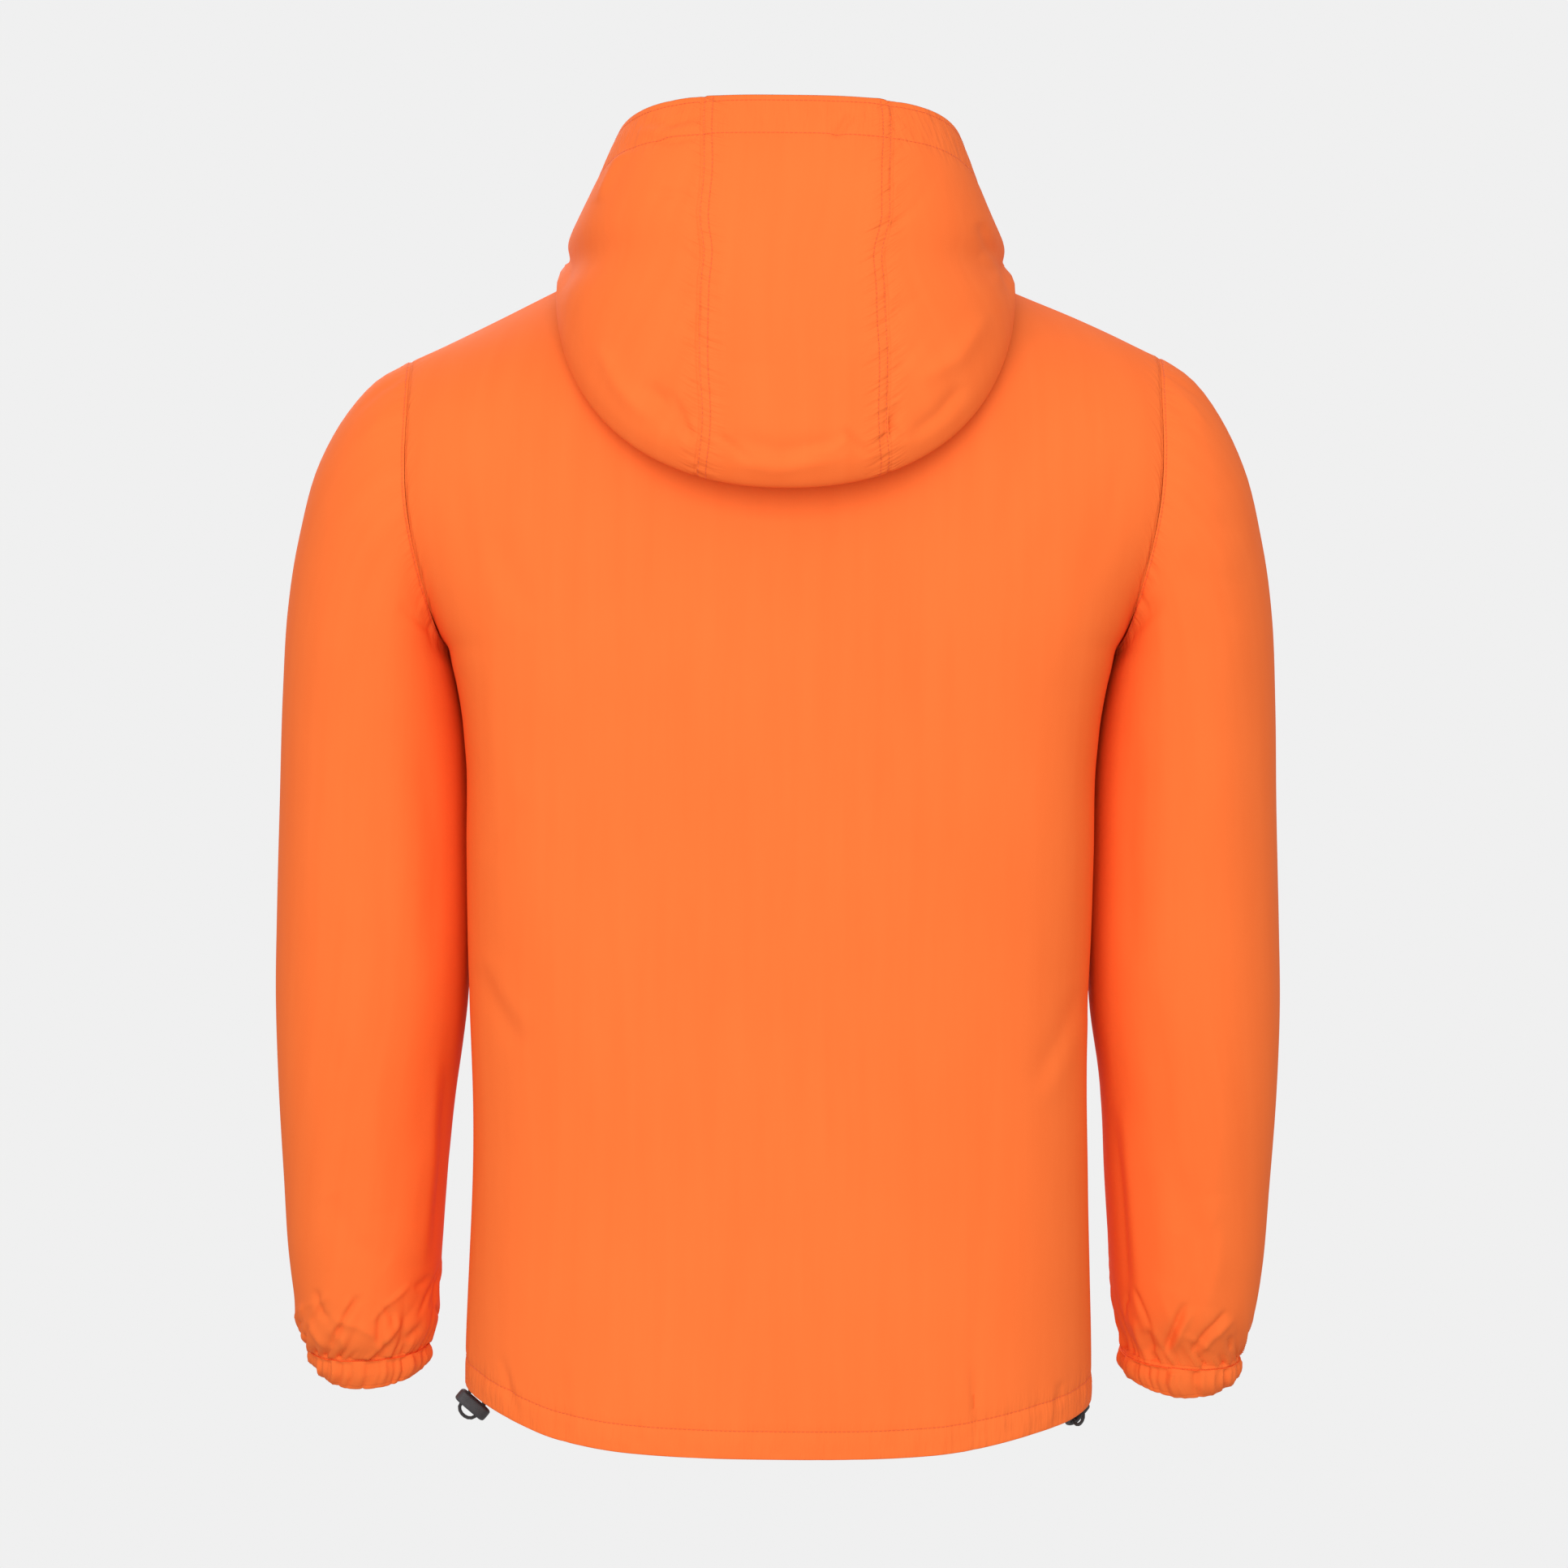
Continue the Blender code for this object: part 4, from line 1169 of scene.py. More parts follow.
class Bench:
    """Modelling by Blender's own operators, on one object at a time."""

    @staticmethod
    def clear() -> None:
        """Leaves nothing selected."""
        if bpy.context.object is not None and bpy.context.object.mode != "OBJECT":
            bpy.ops.object.mode_set(mode="OBJECT")
        bpy.ops.object.select_all(action="DESELECT")

    @staticmethod
    def block(name: str, low: tuple[float, ...], high: tuple[float, ...]) -> Piece:
        """Adds a block between two corners, its size and place applied.

        Args:
            name: its name.
            low: least x, y and z.
            high: greatest x, y and z.

        Returns:
            The block.
        """
        Bench.clear()
        middle = [(a + b) / 2 for a, b in zip(low, high)]
        bpy.ops.mesh.primitive_cube_add(size=1.0, location=middle)
        made = bpy.context.object
        made.name = name
        made.scale = [b - a for a, b in zip(low, high)]
        bpy.ops.object.transform_apply(location=True, rotation=True, scale=True)
        return made

    @staticmethod
    def pick(made: Piece, kind: str, test: object) -> None:
        """Selects vertices, edges or faces in edit mode.

        Args:
            made: object in edit mode.
            kind: VERT, EDGE or FACE.
            test: function that says of each whether it is selected.
        """
        bpy.ops.mesh.select_mode(type=kind)
        bpy.ops.mesh.select_all(action="DESELECT")
        bm = bmesh.from_edit_mesh(made.data)
        for part in {"VERT": bm.verts, "EDGE": bm.edges, "FACE": bm.faces}[kind]:
            if test(part):
                part.select_set(True)
        bmesh.update_edit_mesh(made.data)

    @staticmethod
    def modify(made: Piece, kind: str, **settings: object) -> None:
        """Adds a modifier and applies it.

        Args:
            made: the object.
            kind: the modifier's type.
            settings: its settings.
        """
        Bench.clear()
        made.select_set(True)
        bpy.context.view_layer.objects.active = made
        modifier = made.modifiers.new(kind.lower(), kind)
        for key, value in settings.items():
            setattr(modifier, key, value)
        bpy.ops.object.modifier_apply(modifier=modifier.name)

    @staticmethod
    def merge(name: str, parts: list[Piece]) -> Piece:
        """Joins parts into one object.

        Args:
            name: name of the whole.
            parts: the parts.

        Returns:
            The whole.
        """
        Bench.clear()
        for part in parts:
            part.select_set(True)
        bpy.context.view_layer.objects.active = parts[0]
        bpy.ops.object.join()
        made = bpy.context.object
        made.name = name
        return made

    @staticmethod
    def smooth(made: Piece, degrees: float = 40.0) -> None:
        """Shades an object smooth but for its sharp edges.

        Args:
            made: the object.
            degrees: angle past which an edge is sharp.
        """
        Bench.clear()
        made.select_set(True)
        bpy.context.view_layer.objects.active = made
        bpy.ops.object.shade_smooth_by_angle(angle=math.radians(degrees))


def dress(made: Piece, finish: Material, slot: Slot, body: Body, *nodes: str) -> Piece:
    """Gives a finished piece its material, body and nodes.

    Args:
        made: the piece.
        finish: its material.
        slot: the record's slot; not used.
        body: the body that it rides on.
        nodes: the CAD nodes that it stands for.

    Returns:
        The piece.
    """
    made.data.materials.clear()
    made.data.materials.append(finish)
    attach(made, body.value)
    if nodes:
        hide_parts(*nodes)
    return made


def repeated(name: str, template: Piece, places: list[Matrix]) -> Piece:
    """One mesh with a copy of a template at every place.

    Args:
        name: name of the new object.
        template: the shape that repeats.
        places: matrix of each copy.

    Returns:
        The new object.
    """
    base = np.array([tuple(v.co) for v in template.data.vertices])
    faces = [list(p.vertices) for p in template.data.polygons]
    points, polygons = [], []
    for k, place in enumerate(places):
        turn, shift = np.array(place.to_3x3()), np.array(place.translation)
        points.append(base @ turn.T + shift)
        polygons.extend([[i + k * len(base) for i in face] for face in faces])
    mesh = bpy.data.meshes.new(name)
    mesh.from_pydata(np.concatenate(points).tolist(), [], polygons)
    mesh.update()
    mesh.shade_smooth()
    return linked(name, mesh)


# ---- Studio ----


@dataclass
class Studio:
    """Camera at the picture's angle, soft light and a plain pale floor."""

    picture: float = 1932.0
    focal: float = 6000.0
    distance: float = 3.0
    eye_x: float = -0.002
    eye_z: float = -0.3045
    roll: float = math.radians(0.6)
    sensor: float = 36.0
    sight: float = 60.0
    aim: Vector = field(default_factory=lambda: Vector((0.0, 0.0, -0.32)))
    grey: float = 0.871
    world_share: float = 0.80
    floor_share: float = 0.62
    floor_z: float = -0.95
    floor_side: float = 24.0
    lights: tuple[tuple[str, Triple, float, float, Colour], ...] = (
        ("key", (0.30, 3.1, 0.5), 2.2, 64.0, (1.0, 0.99, 0.98)),
        ("front", (0.7, -3.0, 1.4), 2.4, 50.0, (1.0, 1.0, 1.0)),
    )

    def place_camera(self) -> None:
        """Adds the camera, which looks along -Y from behind the garment."""
        data = bpy.data.cameras.new("camera")
        data.sensor_width = self.sensor
        data.sensor_fit = "HORIZONTAL"
        data.lens = self.sensor * self.focal / self.picture
        data.clip_end = self.sight
        camera = linked("camera", data)
        facing = Matrix.Rotation(math.pi, 4, "Z") @ Matrix.Rotation(math.pi / 2, 4, "X")
        spin = Matrix.Rotation(self.roll, 4, "Z")
        camera.matrix_world = Matrix.Translation((self.eye_x, self.distance, self.eye_z)) @ facing @ spin
        bpy.context.scene.camera = camera

    def add_light(self, name: str, place: Triple, size: float, power_w: float, colour: Colour) -> None:
        """Adds a square soft light aimed at the garment.

        Args:
            name: its name.
            place: where it stands.
            size: its side.
            power_w: its power in watts.
            colour: its colour.
        """
        data = bpy.data.lights.new(name, "AREA")
        data.size = size
        data.energy = power_w
        data.color = colour
        lamp = linked(name, data)
        lamp.visible_camera = False
        turn = (self.aim - Vector(place)).to_track_quat("-Z", "Y").to_matrix().to_4x4()
        lamp.matrix_world = Matrix.Translation(place) @ turn

    def lit_unseen(self, tree: bpy.types.NodeTree, strength: Socket, share: float) -> None:
        """Keeps the backdrop's own tone in the picture and lets it light the garment by a share of that.

        Args:
            tree: nodes of the backdrop.
            strength: the socket that takes its strength.
            share: strength for all rays but the camera's.
        """
        ray = tree.nodes.new("ShaderNodeLightPath")
        choose = tree.nodes.new("ShaderNodeMapRange")
        choose.inputs["To Min"].default_value = share
        choose.inputs["To Max"].default_value = 1.0
        tree.links.new(ray.outputs["Is Camera Ray"], choose.inputs["Value"])
        tree.links.new(choose.outputs[0], strength)

    def light(self) -> None:
        """Adds the soft surroundings and the lights."""
        world = bpy.data.worlds.new("surroundings")
        bpy.context.scene.world = world
        world.use_nodes = True
        ground = world.node_tree.nodes["Background"]
        ground.inputs["Color"].default_value = (self.grey, self.grey, self.grey, 1.0)
        self.lit_unseen(world.node_tree, ground.inputs["Strength"], self.world_share)
        for row in self.lights:
            self.add_light(*row)

    def lay_floor(self) -> None:
        """Adds the plain floor, of the surroundings' own tone."""
        Bench.clear()
        bpy.ops.mesh.primitive_plane_add(size=1.0, location=(0.0, 0.0, self.floor_z))
        floor = bpy.context.object
        floor.name = "floor"
        floor.scale = (self.floor_side, self.floor_side, 1.0)
        bpy.ops.object.transform_apply(location=True, rotation=True, scale=True)
        sheet = NodeSheet("paper")
        glow = sheet.add("Emission", Color=(self.grey, self.grey, self.grey, 1.0))
        self.lit_unseen(sheet.tree, glow.inputs["Strength"], self.floor_share)
        out = sheet.tree.nodes["Material Output"]
        sheet.join(glow.outputs[0], out.inputs["Surface"])
        sheet.tree.nodes.remove(sheet.shader)
        floor.data.materials.append(sheet.material)

    def build(self) -> None:
        """Sets up the camera, the light and the floor."""
        settings = bpy.context.scene.view_settings
        settings.view_transform = "Standard"
        settings.look = "None"
        self.place_camera()
        self.light()
        self.lay_floor()


# ---- Hem cord and its stoppers ----


@dataclass
class HemCord:
    """Loop of the hem's elastic cord that comes out at a side seam, with its stopper."""

    side: Side
    diameter: float = 0.0022
    length: float = 0.023
    width: float = 0.010
    depth: float = 0.008
    slot_width: float = 0.0034
    centre: Triple = (0.1862, -0.006, -0.6895)
    inlet: tuple[float, float] = (0.1880, -0.6600)
    lean: float = math.radians(40)
    strand: float = 0.0059

    @property
    def turn(self) -> float:
        """Turn of the stopper about the upright."""
        return 0.0 if self.side is Side.LEFT else math.radians(58)

    @property
    def ends(self) -> tuple[float, float]:
        """Y of the loop's two ends inside the hem."""
        return (-0.0105, -0.0030) if self.side is Side.LEFT else (0.0035, -0.0155)

    def frame(self) -> Matrix:
        """Matrix from the stopper's own frame, x along it and z along its slot, to the garment's.

        Returns:
            The matrix.
        """
        sign = self.side.value
        lean = Matrix.Rotation(-sign * self.lean, 4, "Y")
        turn = Matrix.Rotation(sign * self.turn, 4, "Z")
        flip = Matrix.Scale(-1.0, 4, Vector((1.0, 0.0, 0.0))) if sign > 0 else Matrix.Identity(4)
        return Matrix.Translation((sign * self.centre[0], *self.centre[1:])) @ turn @ lean @ flip

    def route(self) -> list[Vector]:
        """Points from inside the hem, through the stopper and back.

        Returns:
            The points.
        """
        sign, frame_of = self.side.value, self.frame()
        low, high, s = -self.depth / 2, self.depth / 2, self.strand
        near, far = self.ends
        middle = self.centre[1]
        half = [(s, high), (s, 0.0), (s, low), (0.92 * s, low - 0.0020), (0.55 * s, low - 0.0040)]
        loop = [(-x, z) for x, z in half] + [(0.0, low - 0.0047)] + half[::-1]
        return [
            Vector((sign * self.inlet[0], near, self.inlet[1])),
            Vector((sign * 0.1878, near + (middle - near) * 0.3, -0.6710)),
            *[frame_of @ Vector((x, 0.0, z)) for x, z in loop],
            Vector((sign * 0.1815, far + (middle - far) * 0.5, -0.6800)),
            Vector((sign * 0.1862, far + (middle - far) * 0.2, -0.6700)),
            Vector((sign * self.inlet[0], far, self.inlet[1])),
        ]

    def smooth_route(self) -> list[Vector]:
        """Points at even steps on a smooth curve through the route.

        Returns:
            The points.
        """
        points = self.route()
        ends = [points[0] * 2 - points[1]] + points + [points[-1] * 2 - points[-2]]
        dense = []
        for a, b, c, d in zip(ends, ends[1:], ends[2:], ends[3:]):
            for k in range(12):
                u = k / 12
                bend = 2 * b + (c - a) * u + (2 * a - 5 * b + 4 * c - d) * u**2 + (3 * b - a - 3 * c + d) * u**3
                dense.append(bend / 2)
        spaced = [dense[0]]
        for point in dense[1:]:
            if (point - spaced[-1]).length >= self.diameter:
                spaced.append(point)
        return spaced + [points[-1]]

    def build_cord(self) -> Piece:
        """Makes the cord as a bevelled curve.

        Returns:
            The cord.
        """
        points = self.smooth_route()
        curve = bpy.data.curves.new(f"elastic_{self.side.word}", "CURVE")
        curve.dimensions = "3D"
        curve.bevel_depth = self.diameter / 2
        curve.bevel_resolution = 3
        curve.use_fill_caps = True
        spline = curve.splines.new("POLY")
        spline.points.add(len(points) - 1)
        for knot, place in zip(spline.points, points):
            knot.co = (*place, 1.0)
        return linked(f"elastic_{self.side.word}", curve)

    def build_stopper(self) -> Piece:
        """Models the oblong stopper with its slot, rounded like a bean.

        Returns:
            The stopper.
        """
        half = (self.length / 2, self.width / 2, self.depth / 2)
        made = Bench.block(f"stopper_{self.side.word}", tuple(-h for h in half), half)
        bpy.ops.object.mode_set(mode="EDIT")
        Bench.pick(made, "EDGE", lambda e: abs(e.verts[0].co.z - e.verts[1].co.z) > 0.001)
        bpy.ops.mesh.bevel(offset=self.width * 0.47, segments=5, affect="EDGES")
        Bench.pick(made, "FACE", lambda f: abs(f.normal.z) > 0.9)
        bpy.ops.mesh.inset(thickness=(self.width - self.slot_width) / 2, depth=0.0)
        bpy.ops.mesh.bridge_edge_loops()
        bpy.ops.mesh.select_all(action="SELECT")
        bpy.ops.mesh.remove_doubles(threshold=0.00002)
        bpy.ops.mesh.normals_make_consistent(inside=False)
        bpy.ops.object.mode_set(mode="OBJECT")
        Bench.modify(made, "BEVEL", width=0.0016, segments=3, limit_method="ANGLE", angle_limit=math.radians(50))
        Bench.modify(made, "SUBSURF", levels=1, render_levels=1)
        made.data.transform(self.frame())
        if self.frame().determinant() < 0:
            made.data.flip_normals()
        Bench.smooth(made, 60.0)
        return made

    def build(self, cord_finish: Material, stopper_finish: Material) -> None:
        """Args:
            cord_finish: the cord's material.
            stopper_finish: the stopper's material.
        """
        cord = self.build_cord()
        word = self.side.word
        dress(cord, cord_finish, Slot.CORD, Body.JACKET, f"hem_cord_{word}")
        stopper = dress(self.build_stopper(), stopper_finish, Slot.TOGGLE, Body.JACKET, f"toggle_{word}")
        points = self.smooth_route()
        run = sum((b - a).length for a, b in zip(points, points[1:]))
        tuple(points[0])
        LOG.info("hem cord %s: %.1f mm", word, run * 1000)


# ---- Stitching ----


@dataclass
class Stitching:
    """Rows of small stitches laid on the cloth."""

    pitch: float = 0.0027
    stitch: float = 0.0019
    thread: float = 0.00030
    sunk: float = 0.00006

    def template(self) -> Piece:
        """Models one stitch along X, rounded and tapered into the cloth at its ends.

        Returns:
            The stitch.
        """
        Bench.clear()
        bpy.ops.mesh.primitive_cylinder_add(
            vertices=5, radius=self.thread / 2, depth=self.stitch * 0.6, end_fill_type="NGON"
        )
        made = bpy.context.object
        bpy.ops.object.mode_set(mode="EDIT")
        Bench.pick(made, "FACE", lambda f: abs(f.normal.z) > 0.9)
        bpy.ops.mesh.extrude_faces_move(
            MESH_OT_extrude_faces_indiv={}, TRANSFORM_OT_shrink_fatten={"value": self.stitch * 0.2}
        )
        bpy.ops.transform.resize(value=(0.45, 0.45, 1.0), center_override=(0.0, 0.0, 0.0))
        bpy.ops.object.mode_set(mode="OBJECT")
        made.data.transform(Matrix.Rotation(math.pi / 2, 4, "Y"))
        return made

    def places(self, points: Array, normals: Array) -> list[Matrix]:
        """Matrix of each stitch along a line.

        Args:
            points: the line.
            normals: the surface normals there.

        Returns:
            The matrices, x along the line and z out of the cloth.
        """
        run, half = arcs(points[:, None], 0)[:, 0], self.stitch / 2
        made = []
        for at in np.arange(self.pitch / 2, run[-1] - self.pitch / 2, self.pitch):
            x = point_at(run, points, at + half) - point_at(run, points, at - half)
            x /= np.linalg.norm(x)
            y = np.cross(point_at(run, normals, at), x)
            y /= np.linalg.norm(y)
            z = np.cross(x, y)
            place = Matrix(np.stack([x, y, z], axis=1).tolist()).to_4x4()
            place.translation = point_at(run, points, at) + z * (self.thread / 2 - self.sunk)
            made.append(place)
        return made

    def build(self, name: str, lines: Lines, finish: Material) -> None:
        """Makes and dresses the rows.

        Args:
            name: name of the piece.
            lines: points and normals of each row.
            finish: the thread's material.
        """
        template = self.template()
        places = [place for points, normals in lines for place in self.places(points, normals)]
        made = repeated(name, template, places)
        bpy.data.objects.remove(template, do_unlink=True)
        LOG.info("%s: %d stitches", name, len(places))
        dress(made, finish, Slot.SHELL, Body.JACKET)


# ---- Torso ----

BACK_FOLDS = fold_table(
    (-1, -457, 1, -537, -3, -609, 9, 0.5), (-8, -460, -5, -532, -8, -590, 7, -0.4),
    (172, -155, 163, -179, 146, -212, 9, -1.2), (180, -150, 175, -179, 163, -217, 7, 0.7),
    (205, -112, 190, -150, 182, -188, 8, -0.8), (-160, -55, -143, -108, -122, -176, 10, -0.9),
    (-174, -65, -160, -118, -143, -171, 9, 0.6), (-208, -88, -194, -146, -183, -185, 8, -0.8),
    (175, -227, 168, -313, 168, -409, 13, 1.2), (-171, -252, -171, -338, -174, -415, 13, 1.2),
    (179, -416, 172, -435, 153, -466, 7, -1.6), (178, -404, 168, -428, 146, -454, 7, 1.0),
    (-183, -425, -173, -451, -153, -485, 7, -1.4), (-184, -441, -176, -463, -159, -497, 7, 0.9),
    (178, -351, 171, -342, 154, -315, 6, -0.8), (125, -370, 129, -466, 123, -591, 22, 0.8),
    (67, -394, 76, -490, 69, -610, 26, -0.7), (-62, -320, -72, -440, -67, -589, 28, 0.8),
    (-120, -358, -128, -463, -120, -598, 24, -0.8), (103, -159, 79, -197, 50, -225, 16, -0.6),
    (-103, -147, -75, -195, -46, -224, 16, -0.6), (41, -148, 2, -160, -41, -148, 12, -0.5),
    (124, -650, 123, -674, 124, -701, 2.0, -1.3), (120, -650, 120, -674, 120, -701, 2.4, 0.8),
    (-118, -646, -119, -672, -118, -703, 2.0, -2.2), (-114, -648, -115, -674, -114, -703, 2.6, 1.2),
    (-119, -560, -120, -610, -119, -668, 3.0, -0.7), (-172, -661, -172, -669, -170, -677, 2.4, -1.2),
    (164, -649, 160, -664, 154, -681, 2.6, -1.2), (160, -651, 156, -664, 150, -680, 2.8, 0.8),
)
FRONT_FOLDS = fold_table(
    (168, -140, 158, -172, 138, -205, 9, -1.2), (178, -132, 170, -165, 155, -200, 7, 0.7),
    (120, -70, 100, -120, 88, -175, 12, -0.8), (172, -235, 166, -320, 168, -400, 13, 1.1),
    (178, -405, 168, -430, 146, -458, 7, -1.3), (179, -425, 170, -448, 150, -478, 7, 0.9),
    (112, -340, 118, -460, 110, -600, 24, 0.9), (60, -300, 52, -450, 60, -610, 22, -0.8),
    (26, -180, 30, -300, 24, -420, 10, 0.5), (24, -470, 31, -560, 25, -640, 10, -0.5),
    (150, -500, 140, -560, 146, -620, 14, -0.7),
)


@dataclass
class Torso:
    """Back and two fronts, with the turned-up channel of the hem."""

    half_columns: int = 74
    front_columns: int = 54
    channel: float = 0.016
    seam: float = 0.00003
    rounds: int = 220
    back_press: float = 1.1
    front_press: float = 1.6
    zip_row: float = 0.0045
    finish: TaffetaFinish = TaffetaFinish(
        "taffeta_back", side_rows=(0.0016,), end_rows=(0.016,), side_pucker=0.9, end_pucker=1.2
    )
    front_finish: TaffetaFinish = replace(finish, name="taffeta_front")
    panels: dict[str, ClothPanel] = field(default_factory=dict)

    def levels(self) -> Array:
        """Levels of the rows, closer together at the hem."""
        low = np.concatenate([np.linspace(0.0, 0.07, 20), np.linspace(0.07, 1.0, 116)[1:]])
        return np.concatenate([low, np.linspace(1.0, 2.0, 70)[1:]])

    def form(self, face: Face, edge: float, columns: int) -> Array:
        """Half of a torso face on the wearer's left, its columns closer together at the side."""
        shares = np.concatenate([np.linspace(0.0, 0.985, columns), [0.990, 0.995, 1.0]])
        return torso_points(shares, self.levels(), face.value, edge)

    def calm(self, grid: Array, face: Face) -> Array:
        """Grid smoothed over the chest and kept on its own side of the side and shoulder seams.

        Args:
            grid: the points.
            face: the half that they are on.

        Returns:
            The new points.
        """
        weight = 0.5 * ease(grid[..., 2], -0.34, -0.26) * ease(np.abs(grid[..., 0]), 0.232, 0.150)
        grid = settle(nestled(relaxed(grid, weight, self.rounds), 1.0))
        grid[..., 1] = face.value * (np.maximum(face.value * grid[..., 1], 0.0) + self.seam)
        return grid

    def ruck(self, panel: ClothPanel, seed: int) -> None:
        """Presses the gathers that the hem's elastic makes along its channel.

        Args:
            panel: the panel.
            seed: seed of their draws.
        """
        width = panel.spread()[..., 0]
        span = span_mm(width)
        count = int((span[1] - span[0]) / 9)
        small = Gathers(seed, count, span, (1.0, 9.0), (10.0, 24.0), (1.8, 3.4), (0.50, 1.20), 0.16)
        long = Gathers(seed + 1, count // 3, span, (8.0, 16.0), (26.0, 70.0), (2.6, 5.2), (0.40, 1.00), 0.12)
        panel.press(small.folds() + long.folds(), panel.spread())
        away = panel.away(Edge.BOTTOM)
        panel.lift += 0.0004 * swell(away, self.channel / 2, 0.0062)
        panel.lift -= 0.0004 * swell(away, self.channel, 0.0020)

    def pucker_armhole(self, panel: ClothPanel, edge: Edge, seed: int) -> None:
        """Presses short puckers that pull away from the armhole's seam.

        Args:
            panel: the panel.
            edge: its edge at the armhole.
            seed: seed of their draws.
        """
        away, run = panel.away(edge), arcs(panel.grid, 0)
        plane = np.stack([away, run], axis=-1)
        above = panel.grid[..., 2] > ARMPIT
        short = Gathers(
            seed, 34, span_mm(run[above]), (-2.0, 1.0), (7.0, 20.0), (1.9, 3.6), (0.35, 0.90), 0.25, True
        )
        panel.press(short.folds(), plane, above)

    def dress_panel(self, panel: ClothPanel, finish: Material, node: str) -> None:
        """Builds a panel and gives it its finish.

        Args:
            panel: the panel.
            finish: its material.
            node: the CAD node that it stands for.
        """
        for edge in BOTH_SIDES:
            panel.tuck(edge, *TUCK)
        made = panel.build(BOTH_SIDES, (Edge.BOTTOM,))
        dress(made, finish, Slot.SHELL, Body.JACKET, node)
        self.panels[node] = panel
        LOG.info("%s: %d faces", node, len(made.data.polygons))

    def build(self) -> None:
        """Builds the back and both fronts."""
        half = self.form(Face.BACK, 0.0, self.half_columns)
        flanges = (Edge.LEFT, Edge.RIGHT, Edge.TOP)
        grid = np.concatenate([half[:, ::-1], (half * np.array([-1.0, 1.0, 1.0]))[:, 1:]], axis=1)
        back = ClothPanel("back", self.calm(grid, Face.BACK), turned={Edge.BOTTOM: self.channel}, flanges=flanges)
        back.press(BACK_FOLDS, back.plan, self.back_press)
        self.ruck(back, 11)
        self.pucker_armhole(back, Edge.LEFT, 21)
        self.pucker_armhole(back, Edge.RIGHT, 22)
        self.dress_panel(back, self.finish.make(), "back")
        front_material = self.front_finish.make()
        form = self.form(Face.FRONT, ZIP_EDGE, self.front_columns)
        left, right = self.calm(form, Face.FRONT), self.calm(mirrored(form), Face.FRONT)
        for side, grid, outer in ((Side.LEFT, left, Edge.RIGHT), (Side.RIGHT, right, Edge.LEFT)):
            turned = {Edge.BOTTOM: self.channel}
            panel = ClothPanel(f"front_{side.word}", grid, turned=turned, flanges=flanges)
            panel.press(FRONT_FOLDS, panel.plan * np.array([side.value, 1.0]), self.front_press)
            self.ruck(panel, 31 if side is Side.LEFT else 41)
            self.pucker_armhole(panel, outer, 51 if side is Side.LEFT else 61)
            self.dress_panel(panel, front_material, f"front_{side.word}")

    def declare(self) -> None:
        """Does nothing; no cut is declared here."""

    def stitch_lines(self) -> Lines:
        """Rows along the hem's channel and the zip's edges.

        Returns:
            Points and normals of each row.
        """
        lines = [panel.line(Edge.BOTTOM, self.channel) for panel in self.panels.values()]
        for node, zip_edge in (("front_left", Edge.LEFT), ("front_right", Edge.RIGHT)):
            lines.append(self.panels[node].line(zip_edge, self.zip_row, (0.02, 1.0)))
        return lines


# ---- Sleeves ----

LEFT_SLEEVE_FOLDS = fold_table(
    (273, -463, 260, -491, 267, -521, 8, -0.7), (261, -349, 241, -383, 226, -432, 12, -0.8),
    (244, -137, 238, -206, 227, -274, 16, 0.8), (262, -245, 256, -324, 258, -398, 15, 0.7),
    (218, -274, 209, -348, 211, -422, 9, -1.0), (274, -560, 259, -589, 239, -604, 9, -1.0),
    (215, -520, 224, -569, 222, -604, 9, 0.9), (245, -466, 247, -520, 239, -570, 12, 0.8),
    (233, -60, 246, -68, 258, -81, 2.4, -0.6), (233, -72, 242, -83, 250, -97, 2.4, 0.5),
    (212, -216, 221, -207, 231, -199, 2.4, -0.8), (284, -619, 280, -634, 274, -638, 2.2, -1.2),
    (260, -623, 271, -641, 275, -648, 2.2, 1.3), (257, -622, 267, -640, 271, -648, 2.0, -1.2),
    (243, -631, 245, -648, 240, -656, 2.0, -1.4), (235, -634, 233, -641, 247, -656, 2.2, 1.2),
    (223, -619, 218, -616, 213, -612, 2.4, -1.1), (289, -638, 283, -648, 277, -656, 2.2, 1.1),
    (221, -643, 225, -648, 228, -653, 2.0, -1.3), (204, -478, 207, -540, 213, -606, 3.4, -1.4),
    (210, -474, 213, -540, 219, -610, 4.2, 0.8),
)
